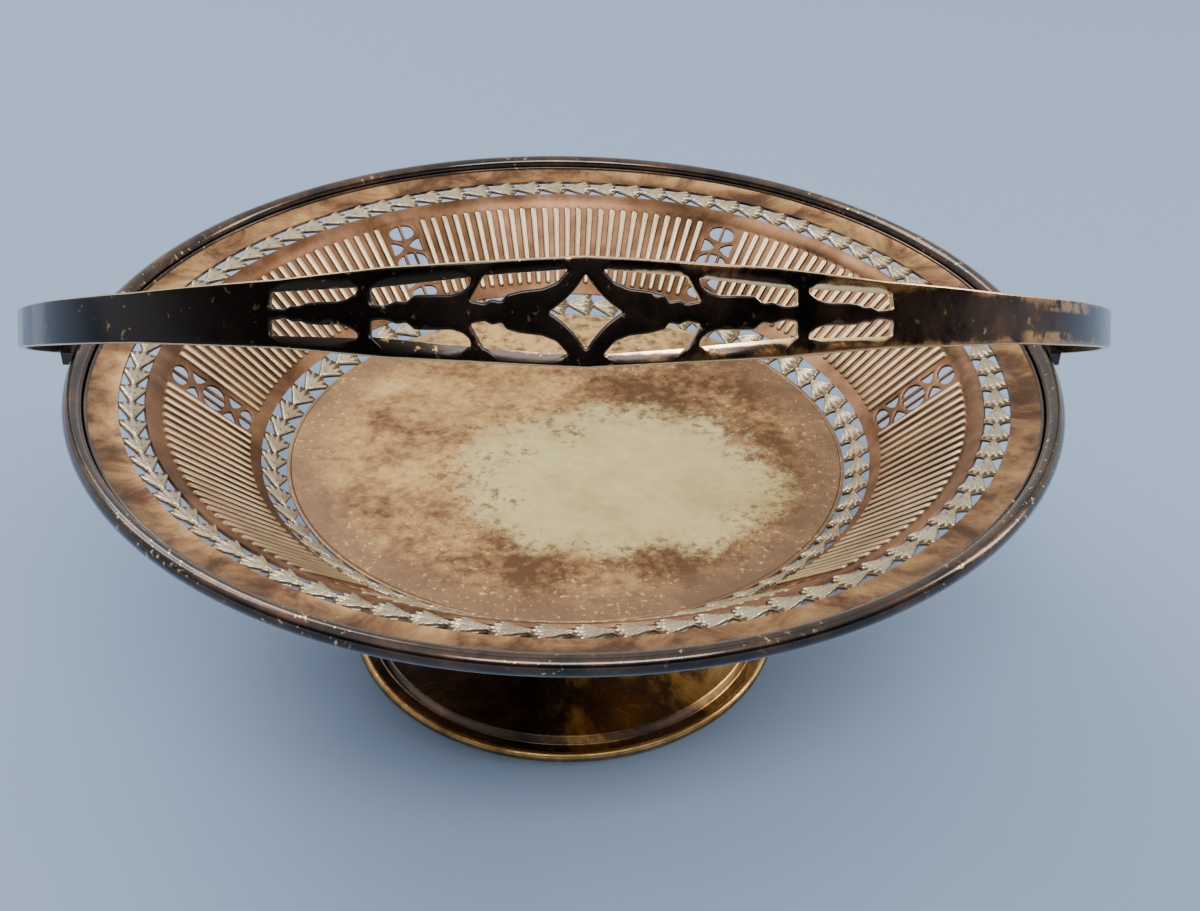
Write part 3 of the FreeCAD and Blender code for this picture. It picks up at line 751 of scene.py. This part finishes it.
def make_leaf_band(name, node, count, zone):
    """A gallery of leaves between two plain rings: one carved cell, repeated round the dish."""
    r_in = RING_R[zone]
    r_out = RING_R[zone + 1]
    climb = math.hypot(1.0, (RING_Z[zone + 1] - RING_Z[zone]) / (r_out - r_in))
    width = (r_out - r_in) * climb
    middle = (r_in + r_out) / 2.0
    pitch = math.tau * middle / count
    upper = leaf_outline(width, LEAF_LAND, pitch)
    side = np.linspace(width / 2.0, -width / 2.0, 15)[1:-1]
    right = np.column_stack([np.full(len(side), pitch), side])
    lower = upper[::-1] * (1.0, -1.0)
    left = np.column_stack([np.zeros(len(side)), side[::-1]])
    outline = np.vstack([upper, right, lower, left])[::-1]
    straight = (np.abs(outline[:, 0]) < 1e-9) | (np.abs(outline[:, 0] - pitch) < 1e-9)
    free = [k for k in range(len(outline)) if straight[k] and straight[(k + 1) % len(outline)]]
    flat, triangles, gap = filled(outline, [], 0.36 * MM, (0.12 * MM,), free)
    relief, aside = leaf_relief(flat, pitch, width)
    relief *= np.clip(gap / (0.2 * MM), 0.25, 1.0)
    values = {"raised": relief, "gap": gap, "aside": aside}
    points, faces, values = merged(*repeated(flat, triangles, values, count, pitch), count * pitch)
    turn = points[:, 0] / middle
    r = middle + points[:, 1] / climb
    lift = LEAF_RELIEF * values["raised"] - LEAF_SINK - 0.5 * rounding(values["gap"], 0.25 * MM)
    top = on_dish(r, turn, lift, zone)
    under = on_dish(r, turn, np.full(len(r), -LEAF_METAL), zone)
    shape, faces = slab(top, under, faces)
    paint = {
        "raised": np.concatenate([values["raised"], np.full(len(top), 0.4)]),
        "aside": np.concatenate([values["aside"], np.ones(len(top))]),
    }
    make_piece(name, node, shape, faces, "leaf", paint, 60.0)


# The wall, measured up its slope
WALL_RUN = R_BAND_OUT - R_BAND_IN
WALL_SLOPE = math.hypot(1.0, (Z_BAND_OUT - Z_BAND_IN) / WALL_RUN)
WALL_LENGTH = WALL_RUN * WALL_SLOPE
RIB_START = LOWER_RING_WIDTH * WALL_SLOPE
RIB_END = (LOWER_RING_WIDTH + RIB_ZONE_WIDTH) * WALL_SLOPE
RIB_PITCH = (math.tau / STRIPS - 2.0 * FIRST_RIB) / (RIBS_PER_PANEL - 1)
STRIP_HALF_ANGLE = FIRST_RIB - RIB_PITCH / 2.0
PANEL_TURN = math.tau / STRIPS


def wall_radius(s):
    return R_BAND_IN + s / WALL_SLOPE


def rib_half_width(s):
    share = np.clip((s - RIB_START) / (RIB_END - RIB_START), 0.0, 1.0)
    return (RIB_INNER_WIDTH + (RIB_OUTER_WIDTH - RIB_INNER_WIDTH) * share) / 2.0


def wall_rows():
    """Distances up the wall of the rows of points: close together where the ribs' round ends are."""
    caps = np.array([0.0, 0.06, 0.22, 0.5, 1.0])
    low = RIB_START + caps * rib_half_width(RIB_START)
    high = RIB_END - caps[::-1] * rib_half_width(RIB_END)
    middle = np.linspace(low[-1], high[0], 9)[1:-1]
    below = np.array([0.0, 0.12, 0.35, 0.85]) * RIB_START
    above = WALL_LENGTH - np.array([0.85, 0.35, 0.12, 0.0]) * (WALL_LENGTH - RIB_END)
    return np.concatenate([below, low, middle, high, above])


def rib_lift(s, x):
    """A rib's height, as a share of its crown's, at a distance x from its middle; its ends are round."""
    half = rib_half_width(s)
    past = np.maximum(RIB_START + half - s, 0.0) + np.maximum(s - (RIB_END - half), 0.0)
    q = np.hypot(past, x) / half
    return np.where(q < 1.0, np.clip(1.0 - q ** 2, 0.0, 1.0) ** 0.62, 0.0)


def shoulder(s):
    """The wall's top bends over towards the outer gallery: a drop near the upper edge."""
    t = np.clip((s - RIB_END) / (WALL_LENGTH - RIB_END), 0.0, 1.0)
    return 0.45 * MM * 4.0 * t * (1.0 - t)


def make_panels():
    """The six ribbed panels: points as turn and distance up the wall, triangles and values."""
    rows = wall_rows()
    height = len(rows)
    marks = (-1.0, -0.92, -0.68, -0.3, 0.3, 0.68, 0.92, 1.0)
    flat = []
    lifts = []
    for n in range(RIBS_PER_PANEL + 1):
        centre = FIRST_RIB + n * RIB_PITCH
        flat.append(np.column_stack([np.full(height, centre - RIB_PITCH / 2.0), rows]))
        lifts.append(np.zeros(height))
        for mark in marks if n < RIBS_PER_PANEL else ():
            x = mark * rib_half_width(rows)
            flat.append(np.column_stack([centre + x / wall_radius(rows), rows]))
            lifts.append(rib_lift(rows, x))
    triangles = []
    for c in range(len(flat) - 1):
        for k in range(height - 1):
            a = c * height + k
            b = a + height
            triangles += [[b + 1, b, a], [a + 1, b + 1, a]]
    flat = np.vstack(flat)
    values = {"raised": np.concatenate(lifts), "gap": np.full(len(flat), 1.0)}
    return repeated(flat, np.array(triangles), values, STRIPS, PANEL_TURN)


def oval_slices(centre, half_length, half_width, bars):
    """An oval across the strip cut into slices by bars that run up the wall, corners rounded."""
    slices = []
    share = 2.0 * half_width / (bars + 1.0)
    for k in range(bars + 1):
        low = -half_width + k * share + (STRIP_BAR / 2.0 if k else 0.0)
        high = -half_width + (k + 1) * share - (STRIP_BAR / 2.0 if k < bars else 0.0)
        across = np.linspace(low, high, 9)
        reach = half_length * np.sqrt(np.clip(1.0 - (across / half_width) ** 2, 0.0, 1.0)) ** 0.9
        there = np.column_stack([centre + reach, across])
        back = np.column_stack([centre - reach, across])[::-1]
        loop = np.vstack([there, back])
        keep = np.linalg.norm(loop - np.roll(loop, 1, axis=0), axis=1) > 0.02 * MM
        slices.append(rounded(loop[keep], 0.35 * MM, 2))
    return slices


def crossing_holes(centre, half_length):
    """The two three-cornered openings beside a crossing of the webs, drawn in along the ovals."""
    holes = []
    for side in (-1.0, 1.0):
        tip = (centre, side * STRIP_WEB * 0.95)
        high = (centre + half_length, side * STRIP_HALF_WIDTH * 0.97)
        low = (centre - half_length, side * STRIP_HALF_WIDTH * 0.97)
        loop = np.vstack([
            bent(tip, high, side * -0.42 * MM)[:-1],
            bent(high, low, side * 0.12 * MM, 4)[:-1],
            bent(low, tip, side * -0.42 * MM)[:-1],
        ])
        holes.append(rounded(loop, 0.28 * MM, 2))
    return holes


def make_strips():
    """The six pierced strips: points as turn and distance up the wall, triangles and values."""
    rows = wall_rows()
    usable = RIB_END - RIB_START - 2.0 * STRIP_MARGIN
    # Lengths of the five openings along the strip, in shares of it
    cells = (0.155, 0.165, 0.265, 0.165, 0.185)
    web = (1.0 - sum(cells)) / (len(cells) - 1)
    start = RIB_START + STRIP_MARGIN
    holes = []
    for n, cell in enumerate(cells):
        half = cell * usable / 2.0
        centre = start + half
        if n == 2:
            holes += oval_slices(centre, half, STRIP_HALF_WIDTH, 2)
        elif n % 2:
            holes += crossing_holes(centre, half)
        else:
            holes += oval_slices(centre, half, STRIP_SMALL_HALF_WIDTH, 1)
        start += (cell + web) * usable
    edge = wall_radius(rows) * STRIP_HALF_ANGLE
    right = np.column_stack([rows, edge])
    left = np.column_stack([rows, -edge])[::-1]
    across = np.linspace(-1.0, 1.0, 9)[1:-1]
    near = np.column_stack([np.zeros(len(across)), across * edge[0]])
    far = np.column_stack([np.full(len(across), WALL_LENGTH), across * edge[-1]])
    outline = np.vstack([left, near, right, far[::-1]])
    flat, triangles, gap = filled(outline, holes, 0.75 * MM, (0.14 * MM, 0.42 * MM), range(len(outline)))
    flat = np.column_stack([flat[:, 1] / wall_radius(flat[:, 0]), flat[:, 0]])
    values = {"raised": np.zeros(len(flat)), "gap": gap}
    return repeated(flat, triangles[:, ::-1], values, STRIPS, PANEL_TURN)


def make_wall():
    """The sloping wall: ribbed panels and pierced strips in one sheet."""
    panels, panel_triangles, panel_values = make_panels()
    strips, strip_triangles, strip_values = make_strips()
    triangles = np.vstack([panel_triangles, strip_triangles + len(panels)])
    values = {key: np.concatenate([panel_values[key], strip_values[key]]) for key in panel_values}
    flat, triangles, values = merged(np.vstack([panels, strips]), triangles, values, math.tau, 1e-6)
    turn = flat[:, 0]
    s = flat[:, 1]
    r = wall_radius(s)
    raised = values["raised"]
    wobble = ripple(r * np.cos(turn), r * np.sin(turn), 0.05 * MM)
    drop = rounding(values["gap"], 0.42 * MM) * 0.8
    top = on_dish(r, turn, RIB_HEIGHT * raised - drop + shoulder(s) + wobble, WALL)
    # The ribs are pressed up from below, so they show underneath as hollows
    under = on_dish(r, turn, 0.7 * RIB_HEIGHT * raised - WALL_METAL + shoulder(s), WALL)
    points, faces = slab(top, under, triangles)
    paint = {"raised": np.concatenate([raised, 0.35 * raised])}
    make_piece("ribbed_wall", "fluted_wall", points, faces, "ring", paint)


def make_flange():
    """The plain ring inside the rim, a little hollow."""
    low = np.array([R_FLANGE, Z_FLANGE])
    top = bent(low, (R_MOULDING, Z_MOULDING), -0.35 * MM, 12)
    under = top[::-1] - (0.0, FLANGE_METAL)
    profile = np.vstack([rounded(np.vstack([low, top[1]]), 0.1 * MM, 1, False), top[2:], under])
    turned_piece("flange_ring", "rim_flange", profile[::-1], "flange", 0.08 * MM)


def make_moulding():
    """The rim: a heavy bead, a groove and a small fillet bead, one section turned round the dish."""
    bead = arc_points((R_RIM - BEAD_RADIUS, Z_RIM), BEAD_RADIUS, -105.0, 200.0, 40)
    start = np.array([R_MOULDING, Z_MOULDING])
    fillet_radius = (bead[-1][0] - start[0]) * 0.36
    fillet_centre = start + (fillet_radius + 0.05 * MM, 0.25 * MM)
    fillet = arc_points(fillet_centre, fillet_radius, 15.0, 190.0, 12)
    profile = np.vstack([bead, fillet, start, start - (0.0, DISH_METAL)])
    turned_piece("rim_bead", "rim_moulding", profile[::-1], "rim", 0.05 * MM, 50.0)


# Foot

def sweep_points(inset, steps=44):
    """The trumpet line from the step up to the stem, moved inwards by inset."""
    slope = np.array([math.cos(FOOT_TOE_SLOPE), math.sin(FOOT_TOE_SLOPE)])
    toe = np.array([
        R_FOOT - FOOT_WIRE_RADIUS - FOOT_LIP - FOOT_STEP_WIDTH,
        FOOT_WIRE_RADIUS + FOOT_METAL / 2.0 + FOOT_STEP_RISE,
    ]) - inset * slope[::-1]
    z_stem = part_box("pedestal_foot")[1].z - FOOT_METAL - FOOT_FLARE_RISE - FOOT_NECK_RISE
    poles = np.array([
        toe,
        toe + FOOT_TOE_PULL * slope * (-1.0, 1.0),
        (R_STEM - inset, z_stem - FOOT_STEM_PULL),
        (R_STEM - inset, z_stem),
    ])
    t = np.linspace(0.0, 1.0, steps + 1)[:, None]
    return (
        (1 - t) ** 3 * poles[0] + 3 * t * (1 - t) ** 2 * poles[1]
        + 3 * t ** 2 * (1 - t) * poles[2] + t ** 3 * poles[3]
    )


def make_foot():
    """The hollow pedestal: a flat lip, a ridge, the trumpet sweep, a short stem and a top flange."""
    outer = sweep_points(0.0)
    inner = sweep_points(FOOT_METAL)
    lip_radius = R_FOOT - FOOT_WIRE_RADIUS
    lip_top = FOOT_WIRE_RADIUS + FOOT_METAL / 2.0
    z_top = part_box("pedestal_foot")[1].z
    z_neck = outer[-1][1] + FOOT_NECK_RISE
    flange_radius = R_STEM + FOOT_FLARE_WIDTH
    ridge = outer[0] + (0.6 * MM, 0.1 * MM)
    edge = rounded([
        (lip_radius, lip_top),
        (lip_radius - FOOT_LIP, lip_top - 0.05 * MM),
        ridge,
        outer[1],
    ], 0.5 * MM, 4, False)
    flare = bent((R_STEM, z_neck), (flange_radius, z_top - FOOT_METAL), 2.2 * MM, 12)
    top = rounded([
        flare[-1],
        (flange_radius, z_top),
        (R_STEM - FOOT_METAL, z_top),
        inner[-1],
    ], 0.3 * MM, 3, False)
    under = [
        (lip_radius - FOOT_LIP, lip_top - FOOT_METAL),
        (lip_radius, lip_top - FOOT_METAL),
    ]
    profile = np.vstack([edge, outer[2:], flare, top[1:], inner[::-1], under])
    points, faces = lathe(profile)
    swirl = ripple(points[:, 0] * 2.0, points[:, 1] * 2.0, 0.10 * MM)
    points[:, 2] += swirl * np.clip((points[:, 2] - 4.0 * MM) / (10.0 * MM), 0.0, 1.0)
    make_piece("trumpet_foot", "pedestal_foot", points, faces, "foot")


def make_foot_ring():
    """The round wire along the foot's edge, flat where it stands."""
    inner = R_FOOT - FOOT_WIRE_RADIUS
    high = 2.0 * FOOT_WIRE_RADIUS
    dome = arc_points((inner, FOOT_WIRE_RADIUS), FOOT_WIRE_RADIUS, -80.0, 90.0, 18)
    dome[:, 1] = np.clip(dome[:, 1], 0.0, high)
    back = [(inner - 0.3 * MM, high * 0.93), (inner - 0.3 * MM, 0.2 * MM)]
    turned_piece("foot_wire_ring", "foot_ring", np.vstack([(inner, 0.0), dome, back]), "brass")


def make_collar():
    """The disc between the stem and the dish."""
    low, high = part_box("foot_collar")
    outer = high.x
    inner = R_STEM - FOOT_METAL
    profile = rounded([
        (inner, low.z),
        (outer - 1.6 * MM, low.z),
        (outer - 0.3 * MM, high.z - 1.1 * MM),
        (outer, high.z),
        (inner, high.z),
    ], 0.3 * MM, 3)
    turned_piece("stem_collar", "foot_collar", profile, "foot")


# Handle

def bow_table():
    """Angles and distances along the bow's middle line from the crown, and its points and normals."""
    angle = np.radians(np.linspace(0.0, 90.0, 1801))
    across = np.abs(np.sin(angle)) / HALF_SPAN
    up = np.abs(np.cos(angle)) / CROWN_REACH
    reach = (across ** BOW_ROUNDNESS + up ** BOW_ROUNDNESS) ** (-1.0 / BOW_ROUNDNESS)
    points = np.column_stack([reach * np.sin(angle), reach * np.cos(angle)])
    run = np.gradient(points, axis=0)
    run /= np.linalg.norm(run, axis=1)[:, None]
    normals = np.column_stack([-run[:, 1], run[:, 0]])
    length = np.concatenate([[0.0], np.cumsum(np.linalg.norm(np.diff(points, axis=0), axis=1))])
    return np.degrees(angle), length, np.hstack([points, normals]).T


BOW_ANGLE, BOW_LENGTH, BOW_LINE = bow_table()
QUARTER = BOW_LENGTH[-1]
END_REACH = STRAP_WIDTHS[-1] / 2.0


def strap_half(u):
    """Half the strap's width at a distance along it from the crown, eased between the stations."""
    angle = np.interp(np.abs(u), BOW_LENGTH, BOW_ANGLE)
    return np.interp(angle, STRAP_ANGLES, STRAP_WIDTHS) / 2.0


def on_bow(u, w, lift):
    """Points of the strap: along it, across it and off its middle surface, stood up at the rest angle."""
    far = np.abs(u)
    side = np.where(u < 0.0, -1.0, 1.0)
    x, y, nx, ny = (np.interp(far, BOW_LENGTH, column) for column in BOW_LINE)
    x = side * (x + nx * lift)
    y = y - np.maximum(far - QUARTER, 0.0) + ny * lift
    # The plane of the bow leans back towards -Y by the rest angle above level; w points up its front
    lean = math.pi - REST_ANGLE
    return np.column_stack([
        x,
        y * math.cos(lean) - w * math.sin(lean),
        PIVOT_HEIGHT + y * math.sin(lean) + w * math.cos(lean),
    ])


# The pierced panel, drawn on the right half and above the middle, in millimetres along and across
HUSK_NEAR = (
    (3.1, 7.5), (5.2, 5.2), (7.7, 4.2), (11.3, 3.8), (14.0, 3.1), (14.8, 1.9),
    (16.6, 2.3), (17.9, 1.6), (20.4, 2.1), (19.2, 4.2), (18.0, 6.4),
)
HUSK_MIDDLE = (
    (20.2, 6.1), (20.5, 4.8), (21.8, 3.7), (23.8, 3.1), (26.8, 3.15), (30.3, 3.1),
    (31.9, 1.8), (33.6, 2.1), (35.1, 1.5), (36.4, 1.3), (38.3, 1.5), (38.4, 4.3),
)
HUSK_FAR = (
    (40.7, 4.5), (40.9, 3.6), (42.5, 2.6), (44.5, 2.1), (48.3, 2.1), (50.6, 1.9),
    (51.9, 1.4), (53.4, 1.5), (54.9, 0.8), (58.0, 1.2), (57.7, 3.9),
)
DIAMOND_HALF_LENGTH = 6.5 * MM
DIAMOND_HALF_HEIGHT = 6.7 * MM


def panel_holes():
    """The diamond and the twelve openings beside the husks."""
    corners = np.array([
        (DIAMOND_HALF_LENGTH, 0.0),
        (0.0, DIAMOND_HALF_HEIGHT),
        (-DIAMOND_HALF_LENGTH, 0.0),
        (0.0, -DIAMOND_HALF_HEIGHT),
    ])
    sides = [bent(corners[k], corners[(k + 1) % 4], 0.6 * MM, 8)[:-1] for k in range(4)]
    holes = [rounded(np.vstack(sides), 0.35 * MM, 2)]
    for outline in (HUSK_NEAR, HUSK_MIDDLE, HUSK_FAR):
        smooth = rounded(np.array(outline) * MM, 0.5 * MM, 4)
        for side in (-1.0, 1.0):
            for flip in (-1.0, 1.0):
                holes.append(smooth * (side, flip))
    return holes


def make_strap():
    """The bow handle: a slender strap with a pierced panel, its edges rounded and worn."""
    far_half = np.linspace(QUARTER * 0.5, QUARTER, 50)
    along = np.concatenate([np.linspace(0.0, QUARTER * 0.5, 70)[:-1], far_half])
    edge = np.column_stack([along, strap_half(along)])
    cap = np.radians(np.linspace(90.0, -90.0, 19))[1:-1]
    end = np.column_stack([QUARTER + END_REACH * np.cos(cap), END_REACH * np.sin(cap)])
    right = np.vstack([edge, end, edge[::-1] * (1.0, -1.0)])
    left = right[::-1] * (-1.0, 1.0)
    outline = np.vstack([right, left[1:-1]])
    holes = panel_holes()
    ring = np.radians(np.linspace(0.0, 360.0, 33))[:-1]
    bore = (PIN_RADIUS + PIN_GAP) * np.column_stack([np.cos(ring), np.sin(ring)])
    holes += [bore + (QUARTER, 0.0), bore - (QUARTER, 0.0)]
    flat, triangles, gap = filled(outline, holes, 1.5 * MM, (0.12 * MM, 0.30 * MM, 0.60 * MM))
    half = STRAP_METAL / 2.0
    drop = rounding(gap, STRAP_EDGE_RADIUS)
    top = on_bow(flat[:, 0], flat[:, 1], half - drop)
    under = on_bow(flat[:, 0], flat[:, 1], -half + drop * 0.6)
    points, faces = slab(top, under, triangles)
    outer = distance_to(flat, [outline])
    edge_wear = np.exp(-(outer / (0.36 * MM)) ** 2)
    rightwards = np.clip(flat[:, 0] / (30.0 * MM), 0.0, 1.0)
    inner_wear = (0.5 + 0.5 * rightwards) * np.exp(-(gap / (0.2 * MM)) ** 2)
    wear = np.maximum(edge_wear, inner_wear)
    across = flat[:, 1] / strap_half(flat[:, 0])
    paint = {"edge": np.concatenate([wear, wear]), "across": np.concatenate([across, across])}
    make_piece("swing_strap", "handle_strap", points, faces, "strap", paint, body="handle")


def make_rivet(name, node, side):
    """A rivet: flush in the ear, a shank through the strap and a low domed head outside."""
    low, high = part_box(node)
    near = min(abs(low.x), abs(high.x))
    far = max(abs(low.x), abs(high.x))
    head_radius = (high.z - low.z) / 2.0
    head = HALF_SPAN + STRAP_METAL / 2.0 + HEAD_GAP
    outline = [(0.0, near), (PIN_RADIUS, near), (PIN_RADIUS, head), (head_radius * 0.96, head)]
    for t in np.radians(np.linspace(12.0, 90.0, 12)):
        outline.append((abs(head_radius * math.cos(t)), head + (far - head) * math.sin(t)))
    points, faces = lathe(outline, 48)
    turned = np.column_stack([side * points[:, 2], points[:, 0], PIVOT_HEIGHT + side * points[:, 1]])
    make_piece(name, node, turned, faces, "rim")


# Stage

TABLE_REACH = 6.0
TABLE_COLOUR = (0.21, 0.30, 0.47, 1.0)
OVERHEAD_LIGHT = 1.45
DISH_MIDDLE = (0.0, 0.0, 0.05)
WARM_WHITE = (1.0, 0.97, 0.92)
AMBER_WHITE = (1.0, 0.93, 0.80)


def make_stage():
    mesh = bpy.data.meshes.new("table")
    corners = [(x * TABLE_REACH, y * TABLE_REACH, 0.0) for x, y in ((-1, -1), (1, -1), (1, 1), (-1, 1))]
    mesh.from_pydata(corners, [], [(0, 1, 2, 3)])
    table = new_object("table", mesh)
    material = bpy.data.materials.new("pale_table")
    material.use_nodes = True
    shader = material.node_tree.nodes["Principled BSDF"]
    shader.inputs["Base Color"].default_value = TABLE_COLOUR
    shader.inputs["Roughness"].default_value = 0.9
    mesh.materials.append(material)


def make_sky():
    """Soft studio light all round: bright overhead and behind, dim low on the camera's side."""
    world = bpy.data.worlds.new("studio")
    bpy.context.scene.world = world
    start_tree(world)
    way = add("ShaderNodeTexCoord").outputs["Generated"]
    parts = add("ShaderNodeSeparateXYZ", {0: way}).outputs
    low = spread(parts[1], -0.6, 0.4, 0.10, 0.95)
    up = spread(parts[2], 0.5, 0.85)
    level = number("MAXIMUM", low, spread(parts[2], 0.10, 0.30, 1.1, 0.0))
    below = times(level, number("SUBTRACT", 1.0, up))
    strength = plus(below, times(up, OVERHEAD_LIGHT))
    colour = blended(spread(parts[2], 0.0, 0.7), (0.86, 0.90, 0.97), (1.0, 0.95, 0.87))
    background = add("ShaderNodeBackground", {"Color": colour, "Strength": strength})
    add("ShaderNodeOutputWorld", {"Surface": background.outputs[0]})


def make_lamp(name, where, aim, size, power, colour):
    light = bpy.data.lights.new(name, "AREA")
    light.shape = "RECTANGLE"
    light.size, light.size_y = size
    light.energy = power
    light.color = colour
    lamp = new_object(name, light)
    lamp.location = where
    lamp.rotation_euler = (Vector(aim) - Vector(where)).to_track_quat("-Z", "Y").to_euler()


def make_camera():
    pitch = math.radians(PITCH)
    roll = math.radians(ROLL)
    forward = Vector((0.0, math.cos(pitch), -math.sin(pitch)))
    right = Vector((1.0, 0.0, 0.0))
    up = Vector((0.0, math.sin(pitch), math.cos(pitch)))
    side = right * math.cos(roll) + up * math.sin(roll)
    top = up * math.cos(roll) - right * math.sin(roll)
    turn = Matrix.Rotation(math.radians(HEADING), 3, "Z")
    axes = Matrix((turn @ side, turn @ top, turn @ -forward)).transposed()
    data = bpy.data.cameras.new("camera")
    data.lens = LENS
    data.sensor_width = SENSOR_WIDTH
    data.clip_start = 0.01
    camera = new_object("camera", data)
    camera.matrix_world = Matrix.Translation(CAMERA_PLACE) @ axes.to_4x4()
    bpy.context.scene.camera = camera


make_floor()
make_leaf_band("inner_leaf_gallery", "inner_leaf_band", INNER_LEAVES, INNER_GALLERY)
make_wall()
make_leaf_band("outer_leaf_gallery", "outer_leaf_band", OUTER_LEAVES, OUTER_GALLERY)
make_flange()
make_moulding()
make_foot()
make_foot_ring()
make_collar()
make_strap()
make_rivet("rivet_left", "hinge_pin_left", -1.0)
make_rivet("rivet_right", "hinge_pin_right", 1.0)
for node in ("hinge_lug_left", "hinge_lug_right"):
    for slot in frame["nodes"][node].material_slots:
        slot.material = FINISHES["rim"]

make_stage()
make_sky()
make_lamp("key_panel", (-0.9, 0.9, 1.5), DISH_MIDDLE, (1.2, 0.8), 22.0, WARM_WHITE)
make_lamp("right_panel", (1.4, 0.2, 0.9), DISH_MIDDLE, (0.3, 0.8), 9.0, AMBER_WHITE)
make_lamp("front_panel", (0.1, -1.15, 1.75), (0.0, -0.2, 0.0), (1.4, 0.4), 30.0, WARM_WHITE)
make_camera()
